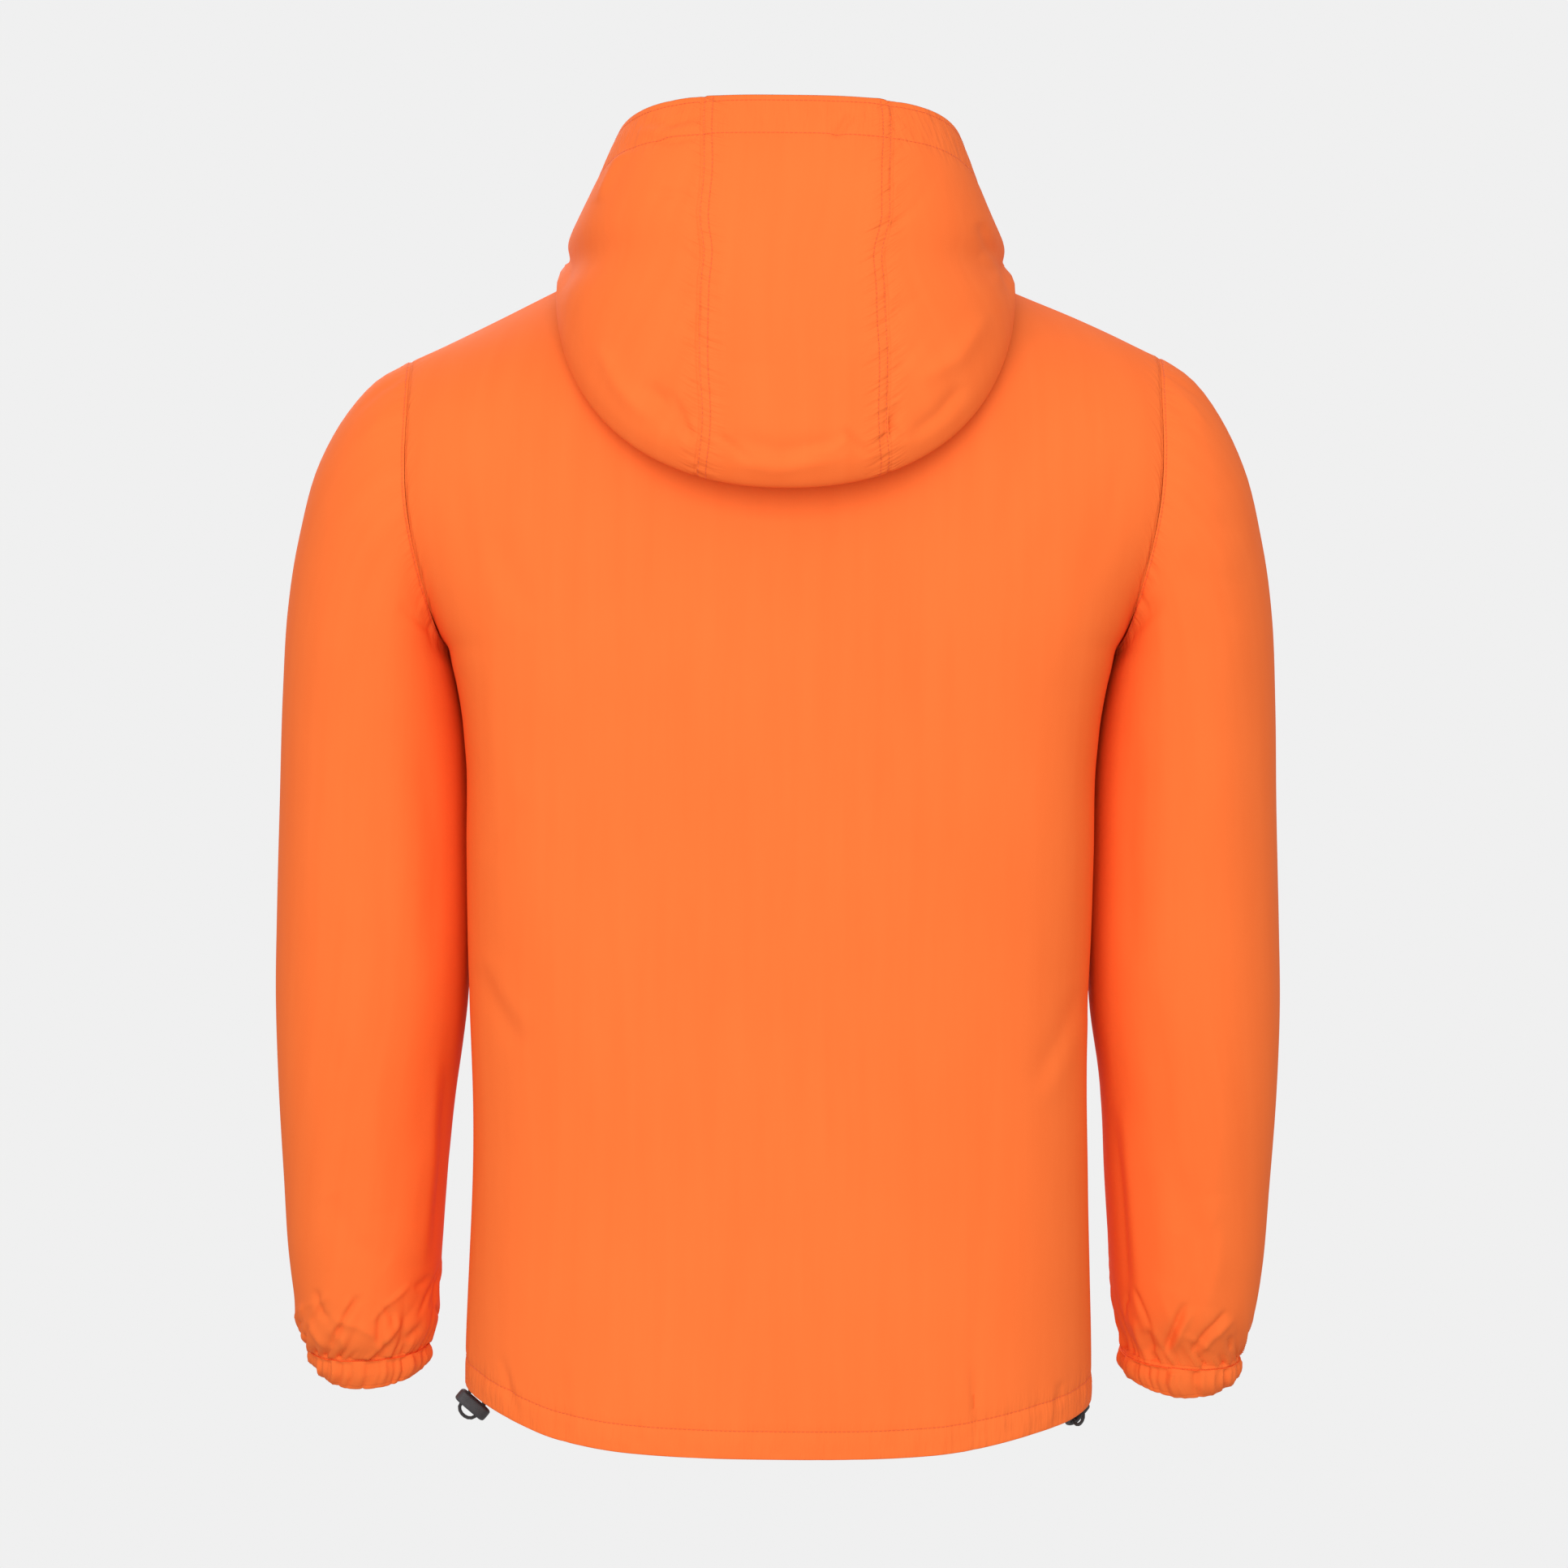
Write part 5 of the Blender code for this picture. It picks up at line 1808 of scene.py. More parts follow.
RIGHT_SLEEVE_FOLDS = fold_table(
    (238, -125, 253, -142, 279, -151, 6, -0.9), (241, -147, 258, -166, 278, -173, 6, 0.7),
    (238, -166, 256, -188, 277, -207, 6, -0.8), (239, -102, 258, -117, 272, -122, 6, -0.7),
    (249, -220, 264, -294, 260, -377, 15, 0.8), (215, -270, 212, -344, 215, -417, 9, -1.0),
    (226, -422, 237, -481, 233, -540, 11, -0.8), (266, -441, 272, -515, 265, -574, 12, 0.9),
    (247, -535, 255, -579, 243, -614, 8, -1.2), (267, -554, 272, -594, 267, -623, 8, 1.0),
    (211, -214, 219, -203, 230, -193, 2.6, -0.9), (210, -205, 217, -193, 225, -180, 2.2, 0.7),
    (232, -56, 246, -62, 262, -74, 2.4, -0.6), (233, -63, 243, -71, 254, -83, 2.4, 0.6),
    (233, -71, 241, -81, 248, -94, 2.2, -0.6), (240, -656, 245, -640, 252, -621, 2.2, -2.0),
    (245, -655, 250, -640, 257, -624, 2.4, 1.4), (257, -655, 266, -641, 279, -626, 2.0, -1.7),
    (262, -656, 271, -643, 284, -631, 2.4, 1.1), (233, -655, 231, -648, 229, -640, 2.0, -1.7),
    (227, -654, 224, -645, 222, -634, 2.2, 1.1), (249, -648, 266, -585, 272, -566, 4.0, -0.7),
    (206, -500, 212, -554, 219, -636, 3.6, -1.5), (212, -496, 218, -554, 226, -634, 4.4, 0.9),
)
SLEEVE_FRONT_FOLDS = fold_table(
    (285, -330, 262, -352, 228, -348, 9, -1.2), (288, -362, 262, -380, 226, -372, 8, 1.0),
    (284, -398, 258, -404, 224, -398, 8, -1.1), (252, -150, 246, -220, 250, -300, 15, 0.8),
    (236, -460, 244, -520, 238, -580, 12, -0.9), (272, -450, 266, -520, 272, -590, 12, 0.9),
)


@dataclass
class Sleeve:
    """Set-in sleeve with its gathered wrist and elasticated band."""

    side: Side
    columns: int = 240
    cuff_columns: int = 232
    cuff_rows: int = 24
    gather_row: int = 20
    rib_row: int = 8
    gap: float = 0.00005
    press: float = 1.6
    sleeve: ClothPanel | None = None
    cuff: ClothPanel | None = None

    def places(self) -> Array:
        """Places of the rings from the wrist up, closer together at both ends."""
        cap = np.concatenate([[0.0, 0.003, 0.006, 0.010], np.linspace(0.016, 0.80, 64)])
        return np.concatenate([cap, np.linspace(0.80, 1.0, 68)[1:]])[::-1]

    def angles(self, count: int) -> Array:
        """Angles of the columns."""
        return np.arange(count) * 2 * math.pi / count

    def own(self, grid: Array) -> Array:
        """Grid on this side of the garment."""
        return settle(nestled(grid if self.side is Side.LEFT else mirrored(grid), -1.0))

    def behind(self, grid: Array) -> Array:
        """How far each point faces backwards, from 0 to 1."""
        middle = grid[..., 1].mean(axis=1, keepdims=True)
        return ease(grid[..., 1] - middle, 0.0, 0.022)

    def build_sleeve(self, finish: Material) -> None:
        """Builds the sleeve, gathered into its wrist.

        Args:
            finish: the material.
        """
        left = self.side is Side.LEFT
        places, angles = self.places(), self.angles(self.columns)
        grid = sleeve_points(places[:, None], angles[None], self.gap)
        ends = (Edge.TOP, Edge.BOTTOM)
        panel = ClothPanel(f"sleeve_{self.side.word}", self.own(grid), closed=True, flanges=ends)
        plan = panel.plan * np.array([self.side.value, 1.0])
        behind = self.behind(panel.grid)
        folds = LEFT_SLEEVE_FOLDS if left else RIGHT_SLEEVE_FOLDS
        panel.press(folds[:-2], plan, behind * self.press)
        # The last two folds of a list run down the sleeve's inner edge and reach round towards its front
        level = panel.grid[..., 1] - panel.grid[..., 1].mean(axis=1, keepdims=True)
        panel.press(folds[-2:], plan, ease(level, -0.030, -0.005) * self.press)
        panel.press(SLEEVE_FRONT_FOLDS, plan, (1.0 - behind) * self.press)
        spread = panel.spread()
        span = span_mm(spread[self.gather_row, :, 0])
        seed = 71 if left else 81
        tight = Gathers(seed, 44, span, (-1.0, 0.5), (8.0, 24.0), (1.2, 2.1), (1.5, 3.3), 0.14, sharp=1.25)
        reach = (22.0, 46.0) if left else (34.0, 76.0)
        slant = 0.42 if left else 0.20
        loose = Gathers(seed + 1, 21, span, (-1.0, 2.0), reach, (1.6, 3.0), (1.9, 4.0), slant, sharp=1.25)
        count = 34 if left else 10
        cross = Gathers(
            seed + 3, count, span, (8.0, 30.0), (10.0, 26.0), (1.2, 2.1), (1.2, 2.8), 1.0, sharp=1.2, rooted=False
        )
        panel.press(tight.folds() + loose.folds() + cross.folds(), spread)
        full, place, reach = (0.0026, 0.017, 0.013) if left else (-0.0030, 0.009, 0.015)
        panel.lift += full * swell(spread[..., 1], place, reach)
        away, run = panel.away(Edge.TOP), spread[..., 0]
        short = Gathers(seed + 2, 40, span_mm(run), (-2.0, 1.0), (7.0, 20.0), (1.7, 3.0), (0.45, 1.20), 0.2)
        panel.press(short.folds(), np.stack([run, away], axis=-1))
        panel.tuck(Edge.TOP, *TUCK)
        panel.tuck(Edge.BOTTOM, 0.0008, 0.0016)
        made = panel.build((), (Edge.TOP, Edge.BOTTOM))
        dress(made, finish, Slot.SHELL, Body.JACKET, f"sleeve_{self.side.word}")
        self.sleeve = panel

    def build_cuff(self, finish: Material) -> None:
        """Builds the band, doubled over its elastic and gathered all round.

        Args:
            finish: the material.
        """
        count, last = self.cuff_columns, self.cuff_rows
        rows, angles = np.linspace(1.0, 0.0, last)[:, None], self.angles(count)[None]
        grid = ring_points(along(CUFF, rows * np.ones((1, count))), angles)
        grid[..., 2] += rows**1.5 * 0.0045 * np.cos(angles) ** 2
        middle = grid[-1].mean(axis=0)
        inner = middle + (grid[-1] - middle) * 0.965
        grid = np.concatenate([grid, [inner, inner + np.array([0.0, 0.0, 0.0026])]])
        panel = ClothPanel(
            f"cuff_{self.side.word}", self.own(grid), closed=True, turned={Edge.BOTTOM: 0.012}, turn_gap=0.0016
        )
        spread = panel.spread()
        span = span_mm(spread[self.rib_row, :, 0])
        seed = 91 if self.side is Side.LEFT else 95
        up = np.minimum(spread[..., 1] / spread[last - 1 : last, :, 1], 1.0)
        ribs = Gathers(seed, 58, span, (-5.0, 1.0), (24.0, 34.0), (1.1, 1.9), (1.0, 2.4), 0.05, sharp=1.4, rooted=False)
        panel.press(ribs.folds(), spread, ease(up, 1.0, 0.86) * 0.8 + 0.2)
        panel.lift += (0.0011 * np.sin(math.pi * up) - 0.0004) * ease(up, 1.0, 0.9)
        panel.lift[last:] = 0.0
        made = panel.build((), (Edge.BOTTOM, Edge.TOP))
        dress(made, finish, Slot.SHELL, Body.JACKET, f"cuff_{self.side.word}")
        self.cuff = panel

    def declare(self) -> None:
        """Does nothing; no cut is declared here."""

    def stitch_lines(self) -> Lines:
        """Rows along the armhole's seam and the band's upper edge."""
        return [self.sleeve.line(Edge.TOP, 0.0016), self.cuff.line(Edge.TOP, 0.0022)]


# ---- Hood ----

HOOD_FOLDS = fold_table(
    (-26, 75, -33, 82, -40, 92, 2.8, -0.9), (80, 39, 66, 40, 51, 34, 3.5, -0.7),
    (92, 69, 101, 63, 112, 39, 2.8, 0.9), (79, -71, 65, -94, 53, -106, 4.9, -1.0),
    (-66, -83, -61, -98, -56, -110, 3.4, -0.8), (31, -103, 3, -112, -35, -105, 6.3, -0.8),
    (31, -117, 3, -122, -40, -112, 4.2, 0.7), (90, 81, 71, 77, 52, 81, 2.8, 0.6),
    (110, -47, 98, -71, 79, -94, 5.6, 0.8), (-77, -69, -101, -54, -119, -26, 6.3, 0.8),
    (-73, -102, -91, -88, -105, -69, 4.9, -0.9), (-115, 30, -120, 19, -124, 12, 3.5, -0.8),
    (-117, 12, -125, 4, -128, -7, 4.2, 0.7), (19, 44, 16, -8, 20, -60, 18, 0.6),
    (-28, 54, -31, -3, -26, -55, 16, -0.6), (86, 87, 68, 84, 50, 88, 1.8, -0.5),
    (84, 76, 70, 72, 52, 74, 1.8, -0.5), (75, -80, 64, -96, 56, -111, 2.2, 0.6),
    (67, -76, 59, -92, 54, -104, 1.7, -0.6), (41, -100, 30, -108, 17, -118, 1.9, -0.6),
    (-34, -97, -42, -106, -51, -113, 1.9, -0.7), (-38, -103, -28, -110, -11, -113, 2.3, 0.5),
    (-58, -92, -66, -100, -72, -104, 1.8, -0.6),
)


@dataclass
class Hood:
    """Three-panel hood worn down: it falls to its pouch and stands up again to its opening."""

    rows: int = 184
    seam: float = 0.0555
    seam_at_neck: float = 0.040
    shift: float = 0.0050
    gap: float = 0.00002
    lift: float = 0.0002
    channel: float = 0.029
    press: float = 2.8
    centre_finish: TaffetaFinish = TaffetaFinish(
        "taffeta_hood_centre", side_rows=(0.0058,), end_rows=(0.004, 0.029), side_pucker=2.1, end_pucker=1.3
    )
    side_finish: TaffetaFinish = TaffetaFinish(
        "taffeta_hood_side", side_rows=(0.0012,), end_rows=(0.004, 0.029), side_pucker=1.8, end_pucker=1.2
    )
    panels: dict[str, ClothPanel] = field(default_factory=dict)

    def places(self) -> Array:
        """Places of the rows, at even steps along the centre back.

        Returns:
            The places.
        """
        dense = np.linspace(0.0, 1.0, 1200)
        run = arcs(hood_points(dense, np.zeros(1200))[:, None], 0)[:, 0]
        return np.interp(np.linspace(0.0, run[-1], self.rows), run, dense)

    def seam_x(self, places: Array, side: Side) -> Array:
        """Distance from the centre line of the seam between the centre and side panels.

        Args:
            places: places of the rows.
            side: side that the seam is on.

        Returns:
            The distances.
        """
        x = mix(self.seam_at_neck, self.seam, np.minimum(places / 0.3, 1.0))
        wander = 0.0011 * np.sin(places * 17.0 + side.value) + 0.0007 * np.sin(places * 41.0)
        return x + ease(places, 0.05, 0.35) * (wander - side.value * self.shift)

    def shaped(self, grid: Array, places: Array) -> Array:
        """Grid drawn in at its sides and leaning at its top, as the cloth hangs.

        Args:
            grid: the points.
            places: place of each row.

        Returns:
            The new points.
        """
        grid = grid + np.array([0.0, 0.0, self.lift])
        z = grid[..., 2]
        late = ease(places, 0.46, 0.60)[:, None]
        grid[..., 0] *= 1.0 - 0.060 * late * swell(z, 0.006, 0.015)
        grid[..., 0] -= 0.0012 * late * ease(z, 0.03, 0.09) * ease(np.abs(grid[..., 0]), 0.058, 0.092)
        return settle(grid)

    def edges(self, count: int) -> Array:
        """Shares from 0 to 1, closer together at both ends."""
        even = np.linspace(0.0, 1.0, count)
        return mix(even, (1 - np.cos(even * math.pi)) / 2, 0.72)

    def puckers(self, panel: ClothPanel, edge: Edge, seed: int, late: Array) -> None:
        """Presses the puckers that the seam and its second row of stitches draw up.

        Args:
            panel: the panel.
            edge: its edge at the seam.
            seed: seed of their draws.
            late: 0 under the pouch, 1 past it, row by row.
        """
        away, run = panel.away(edge), arcs(panel.grid, 0)
        plane = np.stack([away, run], axis=-1)
        span = span_mm(run)
        fine = Gathers(seed, 62, span, (-2.0, 2.0), (5.0, 12.0), (1.7, 2.8), (0.35, 0.95), 0.12, True)
        wide = Gathers(seed + 1, 16, span, (0.0, 5.0), (14.0, 34.0), (2.6, 4.4), (0.35, 0.95), 0.22, True)
        panel.press(fine.folds() + wide.folds(), plane, 0.35 + 0.65 * late)

    def finish_panel(
        self, name: str, grid: Array, places: Array, seams: tuple[Edge, ...], seed: int
    ) -> ClothPanel:
        """Presses one panel's folds and puckers.

        Args:
            name: its node.
            grid: its points.
            places: place of each row.
            seams: edges with a panel seam.
            seed: seed of its puckers.

        Returns:
            The panel.
        """
        flanges = (*seams, Edge.BOTTOM)
        panel = ClothPanel(name, self.shaped(grid, places), turned={Edge.TOP: self.channel}, flanges=flanges)
        late = ease(places, 0.47, 0.56)[:, None]
        panel.press(HOOD_FOLDS, panel.plan, late * self.press)
        for k, edge in enumerate(seams):
            self.puckers(panel, edge, seed + 10 * k, late)
            panel.tuck(edge, 0.0006, 0.0015)
        away = panel.away(Edge.TOP)
        panel.lift += 0.0007 * swell(away, 0.013, 0.010)
        panel.lift -= 0.0005 * swell(away, self.channel, 0.0022)
        width = panel.spread()[..., 0]
        count = int((width.max() - width.min()) / 0.011)
        rim = Gathers(
            seed + 5, count, span_mm(width), (4.0, 22.0), (8.0, 20.0), (1.9, 3.4), (0.25, 0.75), 0.2
        )
        panel.press(rim.folds(), np.stack([width, away], axis=-1))
        self.panels[name] = panel
        return panel

    def build(self) -> None:
        """Builds the three panels."""
        places = self.places()
        column = places[:, None]
        lefts = hood_angle(places, self.seam_x(places, Side.LEFT) - self.gap)[:, None]
        rights = hood_angle(places, self.seam_x(places, Side.RIGHT) - self.gap)[:, None]
        grid = hood_points(column, mix(lefts, -rights, self.edges(74)[None]))
        centre = self.finish_panel("hood_centre", grid, places, BOTH_SIDES, 101)
        made = centre.build(BOTH_SIDES, (Edge.TOP,))
        dress(made, self.centre_finish.make(), Slot.SHELL, Body.JACKET, "hood_centre")
        side_material = self.side_finish.make()
        for side in Side:
            first = hood_angle(places, self.seam_x(places, side) + self.gap)[:, None]
            last = hood_angle(places, np.full_like(places, ZIP_EDGE), front=True)[:, None]
            grid = hood_points(column, mix(last, first, self.edges(92)[None]))
            seam = Edge.RIGHT
            if side is Side.RIGHT:
                grid, seam = mirrored(grid), Edge.LEFT
            name = f"hood_{side.word}"
            panel = self.finish_panel(name, grid, places, (seam,), 131 if side is Side.LEFT else 151)
            dress(panel.build((seam,), (Edge.TOP,)), side_material, Slot.SHELL, Body.JACKET, name)
        LOG.info("hood: %d panels", len(self.panels))

    def declare(self) -> None:
        """Does nothing; no cut is declared here."""

    def stitch_lines(self) -> Lines:
        """Rows beside the panel seams and along the opening's channel.

        Returns:
            Points and normals of each row.
        """
        centre = self.panels["hood_centre"]
        lines = [centre.line(edge, offset) for edge in BOTH_SIDES for offset in (0.0009, 0.0058)]
        for panel in self.panels.values():
            lines += [panel.line(Edge.TOP, 0.004), panel.line(Edge.TOP, self.channel)]
        return lines


# ---- Zip ----


@dataclass
class Zip:
    """Closed front zip: woven tapes, coil teeth, box, slider and swinging pull tab."""

    tape_edge: float = 0.0018
    tape_width: float = 0.0117
    tape_depth: float = 0.0022
    tape_thickness: float = 0.0008
    tooth: Triple = (0.0034, 0.0019, 0.00105)
    pitch: float = 0.0017
    box_height: float = 0.012
    box_half: float = 0.0045
    slider_z: float = -0.027
    slider_half: float = 0.0048
    slider_length: float = 0.013
    plate: float = 0.0012
    clearance: float = 0.0004
    proud: float = 0.0002
    room: float = 0.0026
    bridge_half: float = 0.0009
    bridge_reach: float = 0.0042
    bridge_bar: float = 0.0010
    tab_half: float = 0.0032
    tab_length: float = 0.028
    tab_top: float = 0.0008
    tab_hole: float = 0.0053
    tab_arm: float = 0.0017
    tab_thickness: float = 0.0012

    @property
    def pivot(self) -> Vector:
        """Centre of the bar that the pull tab turns on."""
        return Vector((0.0, NECK_FRONT - self.proud - self.clearance - self.plate - self.room / 2, self.slider_z))

    def line(self, x: float) -> Array:
        """Points of the front and the hood at this distance from the centre line, from the hem up.

        Args:
            x: the distance.

        Returns:
            The points.
        """
        levels = np.concatenate([np.linspace(0.0, 1.0, 130), np.linspace(1.0, 2.0, 60)[1:]])
        body = torso_points(np.array([0.0]), levels, Face.FRONT.value, x)[:, 0]
        places = np.linspace(0.0, 1.0, 60)[1:]
        hood = hood_points(places, hood_angle(places, np.full(59, x), front=True))
        points = np.concatenate([body, hood])
        points[:, 0] = x
        return points

    def build_tapes(self, finish: Material) -> list[ClothPanel]:
        """Builds the two tapes, each of one even thickness.

        Args:
            finish: the material.

        Returns:
            The panels.
        """
        xs = self.tape_edge + self.tape_width * np.array([0.0, 0.12, 0.3, 0.5, 0.7, 0.88, 1.0])
        grid = np.stack([self.line(x) for x in xs], axis=1)
        panels = []
        for side in Side:
            own = grid if side is Side.LEFT else mirrored(grid)
            own = own - grid_normals(own, False) * self.tape_depth
            panel = ClothPanel(f"zip_tape_{side.word}", own, thickness=self.tape_thickness)
            dress(panel.build(), finish, Slot.TAPE, Body.JACKET, f"zip_tape_{side.word}")
            panels.append(panel)
        return panels

    def build_teeth(self, finish: Material) -> None:
        """Models one tooth of the coil and repeats it up both tapes.

        Args:
            finish: the material.
        """
        w, d, h = self.tooth
        tooth = Bench.block("tooth", (-w / 2, -d / 2, -h / 2), (w / 2, d / 2, h / 2))
        bpy.ops.object.mode_set(mode="EDIT")
        Bench.pick(tooth, "EDGE", lambda e: abs(e.verts[0].co.x - e.verts[1].co.x) > w * 0.9)
        bpy.ops.mesh.bevel(offset=h * 0.36, segments=1, affect="EDGES")
        Bench.pick(tooth, "VERT", lambda v: v.co.x < -w * 0.4)
        bpy.ops.transform.resize(value=(1.0, 0.8, 1.35), center_override=(-w / 2, 0.0, 0.0))
        bpy.ops.object.mode_set(mode="OBJECT")
        line = self.line(0.0)
        run = arcs(line[:, None], 0)[:, 0]
        low = np.interp(HEM_FRONT + self.box_height + self.clearance + 0.001, line[:, 2], run)
        high = np.interp(self.slider_z - self.slider_length / 2 - 0.0008, line[:, 2], run)
        places = []
        for k, at in enumerate(np.arange(low, high, self.pitch / 2)):
            here, after = point_at(run, line, at), point_at(run, line, at + 0.002)
            up = Vector((after - here).tolist()).normalized()
            out = Vector((1.0, 0.0, 0.0)).cross(up)
            sign = 1.0 if k % 2 else -1.0
            x_axis = Vector((-sign, 0.0, 0.0))
            turn = Matrix((x_axis, -out if sign > 0 else out, up)).transposed()
            if turn.determinant() < 0:
                turn = Matrix((x_axis, out if sign > 0 else -out, up)).transposed()
            place = turn.to_4x4()
            place.translation = Vector(here.tolist()) - out * (d / 2 - self.proud) + Vector((sign * 0.0012, 0.0, 0.0))
            places.append(place)
        made = repeated("coil_teeth", tooth, places)
        bpy.data.objects.remove(tooth, do_unlink=True)
        dress(made, finish, Slot.CHAIN, Body.JACKET, "zip_chain")

    def build_box(self, finish: Material) -> None:
        """Models the box at the hem, stepped and with a groove down its middle.

        Args:
            finish: the material.
        """
        hem = self.line(0.0)[0]
        low = (-self.box_half, hem[1] - 0.0008, hem[2])
        high = (self.box_half, hem[1] + 0.0024, hem[2] + self.box_height)
        made = Bench.block("pin_box", low, high)
        bpy.ops.object.mode_set(mode="EDIT")
        Bench.pick(made, "FACE", lambda f: f.normal.y < -0.9)
        bpy.ops.mesh.inset(thickness=0.0016, depth=0.0)
        bpy.ops.mesh.extrude_region_move(TRANSFORM_OT_translate={"value": (0.0, 0.0006, 0.0)})
        Bench.pick(made, "FACE", lambda f: f.normal.z > 0.9)
        bpy.ops.mesh.inset(thickness=0.0008, depth=0.0)
        bpy.ops.object.mode_set(mode="OBJECT")
        Bench.modify(made, "BEVEL", width=0.0005, segments=3, limit_method="ANGLE")
        Bench.smooth(made)
        dress(made, finish, Slot.METAL, Body.JACKET, "zip_box")

    def build_slider(self, finish: Material) -> None:
        """Models the slider: two flanged plates, the wedge between the tapes and the arched bridge.

        Args:
            finish: the material.
        """
        w, half, z = self.slider_half, self.slider_length / 2, self.slider_z
        outside = NECK_FRONT - self.proud - self.clearance
        inside = NECK_FRONT + 0.0028 + 0.001 + self.clearance
        face = outside - self.plate
        parts = []
        for name, low_y, high_y in (("front_plate", face, outside), ("back_plate", inside, inside + self.plate)):
            plate = Bench.block(name, (-w, low_y, z - half), (w, high_y, z + half))
            bpy.ops.object.mode_set(mode="EDIT")
            Bench.pick(plate, "VERT", lambda v: v.co.z < z)
            bpy.ops.transform.resize(value=(0.74, 1.0, 1.0), center_override=(0.0, low_y, z - half))
            Bench.pick(plate, "EDGE", lambda e: abs(e.verts[0].co.y - e.verts[1].co.y) > 0.0005)
            bpy.ops.mesh.bevel(offset=0.0022, segments=4, affect="EDGES")
            bpy.ops.object.mode_set(mode="OBJECT")
            Bench.modify(plate, "BEVEL", width=0.0003, segments=2, limit_method="ANGLE")
            parts.append(plate)
        wedge_low, wedge_high = (-0.0014, outside - 0.0001, z + 0.0004), (0.0014, inside + 0.0001, z + half - 0.001)
        wedge = Bench.block("wedge", wedge_low, wedge_high)
        bridge = Bench.block(
            "bridge", (-self.bridge_half, face - 0.0003, z - self.bridge_reach),
            (self.bridge_half, face + 0.0001, z - self.bridge_reach + self.bridge_bar),
        )
        top, reach, bar = face - self.room, self.bridge_reach, self.bridge_bar
        bpy.ops.object.mode_set(mode="EDIT")
        for step in ((0.0, top - bar * 0.4 - face, bar * 0.3), (0.0, -bar * 0.6, bar * 0.8)):
            Bench.pick(bridge, "FACE", lambda f: f.normal.y < -0.5)
            bpy.ops.mesh.extrude_region_move(TRANSFORM_OT_translate={"value": step})
        Bench.pick(bridge, "FACE", lambda f: f.normal.z > 0.3 and f.calc_center_median().y < top)
        bpy.ops.mesh.extrude_region_move(TRANSFORM_OT_translate={"value": (0.0, 0.0, 2 * reach - 3 * bar)})
        bpy.ops.object.mode_set(mode="OBJECT")
        foot_low, foot_high = (-self.bridge_half, top, z + reach - bar), (self.bridge_half, face + 0.0001, z + reach)
        foot = Bench.block("foot", foot_low, foot_high)
        for part in (bridge, foot):
            Bench.modify(part, "BEVEL", width=0.0003, segments=2, limit_method="ANGLE")
        made = Bench.merge("zip_runner", parts + [wedge, bridge, foot])
        Bench.smooth(made)
        dress(made, finish, Slot.METAL, Body.JACKET, "zip_slider")

    def build_tab(self, finish: Material) -> None:
        """Models the pull tab: a tapered plate with the eye that the bridge passes through and a thumb hollow.

        Args:
            finish: the material.
        """
        t = self.tab_thickness / 2
        made = Bench.block("pull", (-self.tab_half, -t, -self.tab_length), (self.tab_half, t, self.tab_top))
        bpy.ops.object.mode_set(mode="EDIT")
        split = -self.tab_hole - self.tab_arm
        bpy.ops.mesh.select_all(action="SELECT")
        bpy.ops.mesh.bisect(plane_co=(0.0, 0.0, split), plane_no=(0.0, 0.0, 1.0))
        Bench.pick(
            made, "EDGE", lambda e: abs(e.verts[0].co.y - e.verts[1].co.y) > t and abs(e.verts[0].co.z - split) > 0.001
        )
        bpy.ops.mesh.bevel(offset=0.0016, segments=4, affect="EDGES")
        Bench.pick(made, "FACE", lambda f: abs(f.normal.y) > 0.9 and f.calc_center_median().z > split)
        bpy.ops.mesh.inset(thickness=self.tab_arm * 0.94, depth=0.0)
        bpy.ops.mesh.bridge_edge_loops()
        Bench.pick(made, "FACE", lambda f: f.normal.y < -0.9 and f.calc_center_median().z < split - 0.004)
        bpy.ops.mesh.inset(thickness=0.0013, depth=-0.00035)
        bpy.ops.object.mode_set(mode="OBJECT")
        Bench.modify(made, "BEVEL", width=0.00025, segments=2, limit_method="ANGLE", angle_limit=math.radians(50))
        made.data.transform(Matrix.Translation(self.pivot))
        Bench.smooth(made)
        dress(made, finish, Slot.METAL, Body.TAB, "zip_pull_tab")

    def build(self) -> None:
        """Builds and dresses the whole zip."""
        tapes = self.build_tapes(TapeFinish().make())
        nylon = HardFinish("nylon_coil", (0.045, 0.042, 0.045), (0.075, 0.071, 0.074), (0.38, 0.52), 2500.0, 0.00004)
        enamel = HardFinish(
            "enamelled_metal", (0.050, 0.048, 0.052), (0.085, 0.082, 0.087), (0.26, 0.40), 1600.0, 0.00003, 0.55, 0.35
        )
        self.build_teeth(nylon.make())
        metal = enamel.make()
        self.build_box(metal)
        self.build_slider(metal)
        self.build_tab(metal)
        LOG.info("zip: tapes, teeth, box, slider and pull tab")


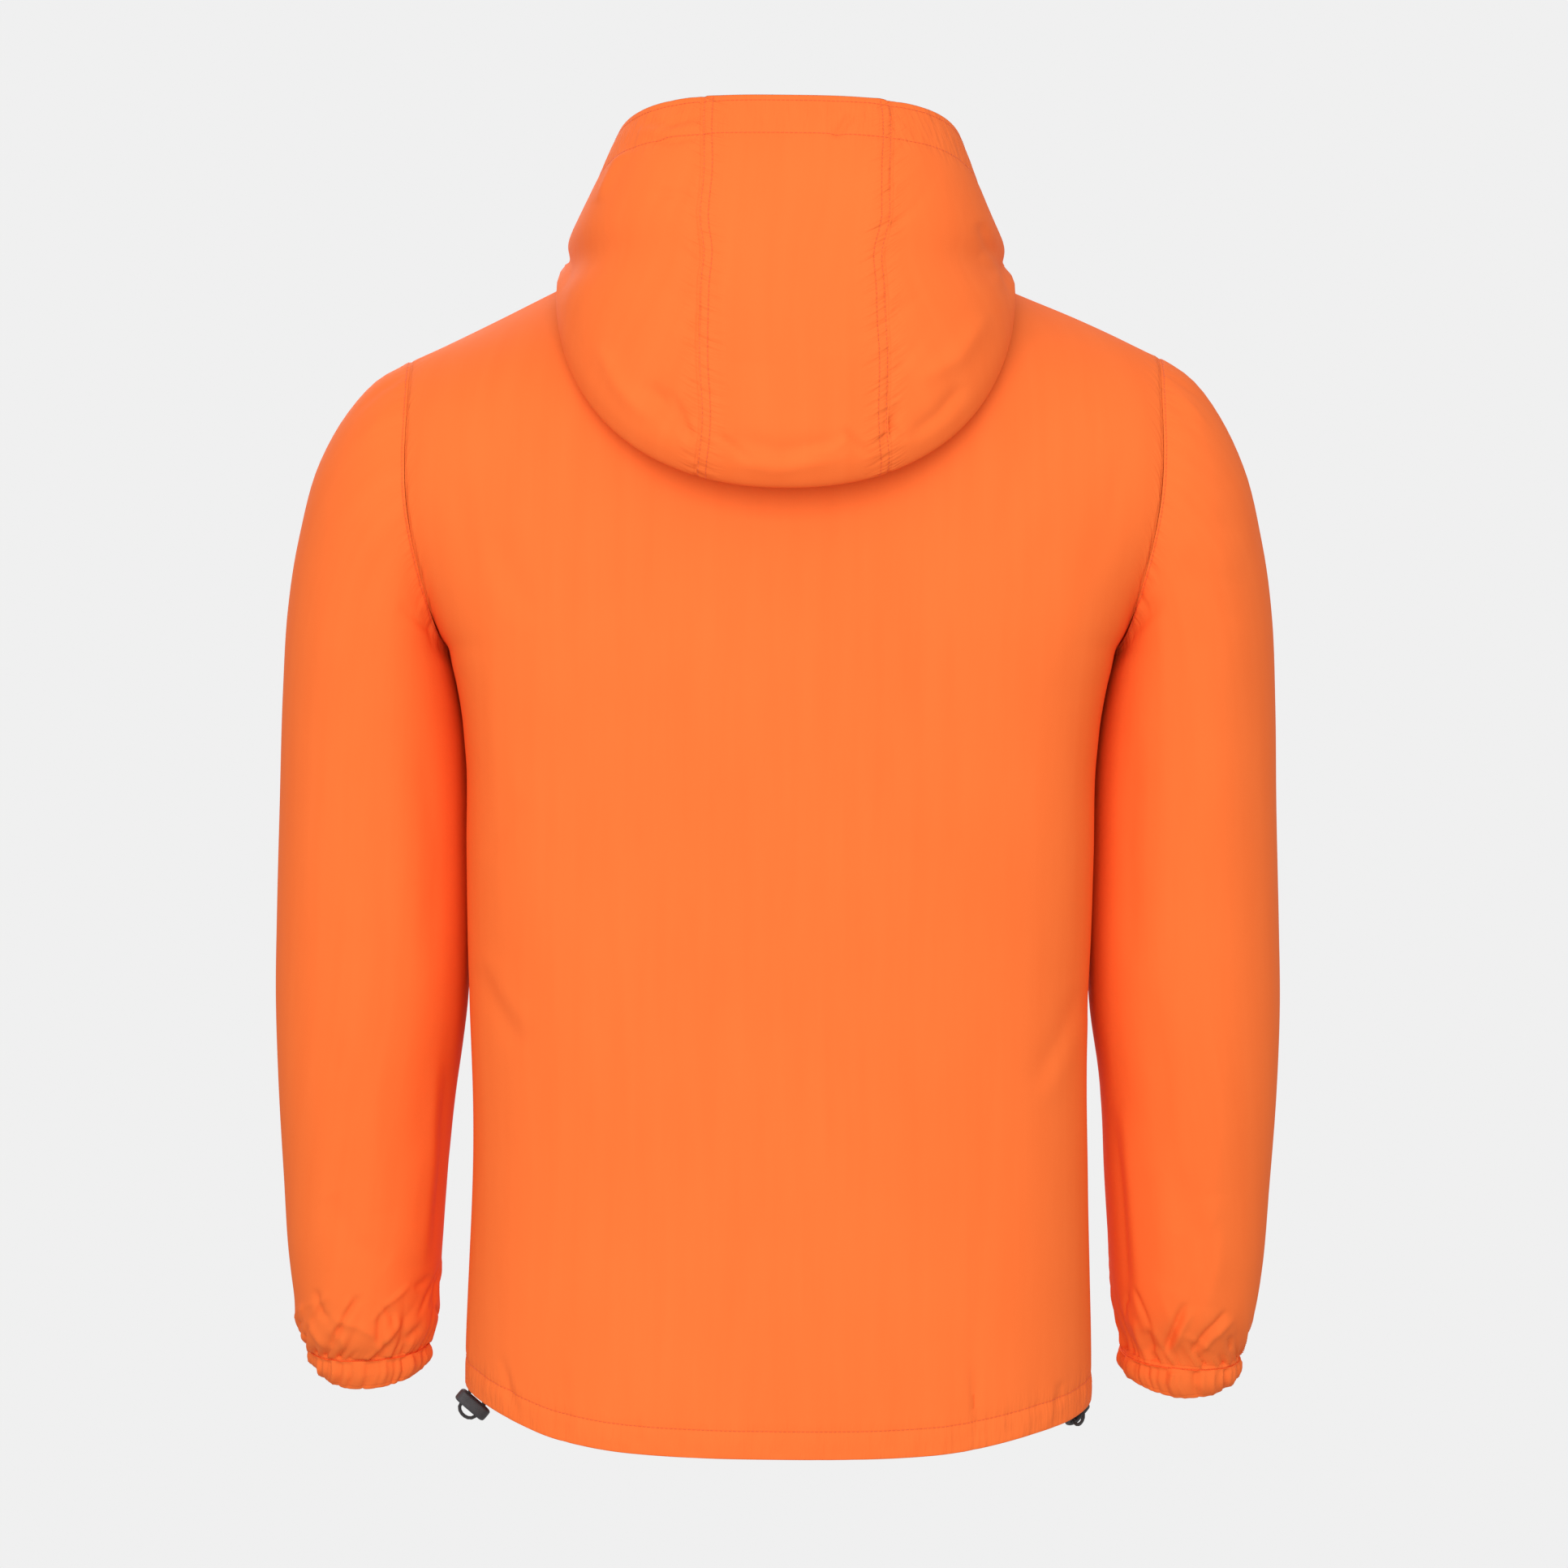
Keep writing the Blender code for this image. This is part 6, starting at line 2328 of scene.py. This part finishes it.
def main() -> None:
    """Builds the studio, the cords, the cloth and the zip, in that order."""
    logging.basicConfig(level=logging.INFO, stream=sys.stdout, format="%(message)s")
    Studio().build()
    cord_finish = CordFinish().make()
    plastic = HardFinish("moulded_plastic", (0.046, 0.043, 0.047), (0.066, 0.062, 0.067), (0.48, 0.62), 900.0, 0.00006)
    stopper_finish = plastic.make()
    for side in Side:
        HemCord(side).build(cord_finish, stopper_finish)
    torso = Torso()
    torso.build()
    torso.declare()
    sleeve_finish = TaffetaFinish("taffeta_sleeve", end_rows=(0.0016,), end_pucker=1.0).make()
    cuff_finish = TaffetaFinish("taffeta_cuff", end_rows=(0.0022,), end_pucker=1.0).make()
    sleeves = [Sleeve(side) for side in Side]
    for sleeve in sleeves:
        sleeve.build_sleeve(sleeve_finish)
        sleeve.build_cuff(cuff_finish)
        sleeve.declare()
        LOG.info("sleeve %s with its cuff", sleeve.side.word)
    hood = Hood()
    hood.build()
    hood.declare()
    Zip().build()
    thread = ThreadFinish().make()
    stitching = Stitching()
    stitching.build("torso_stitches", torso.stitch_lines(), thread)
    stitching.build("sleeve_stitches", [line for sleeve in sleeves for line in sleeve.stitch_lines()], thread)
    stitching.build("hood_stitches", hood.stitch_lines(), thread)


if __name__ == "__main__":
    main()
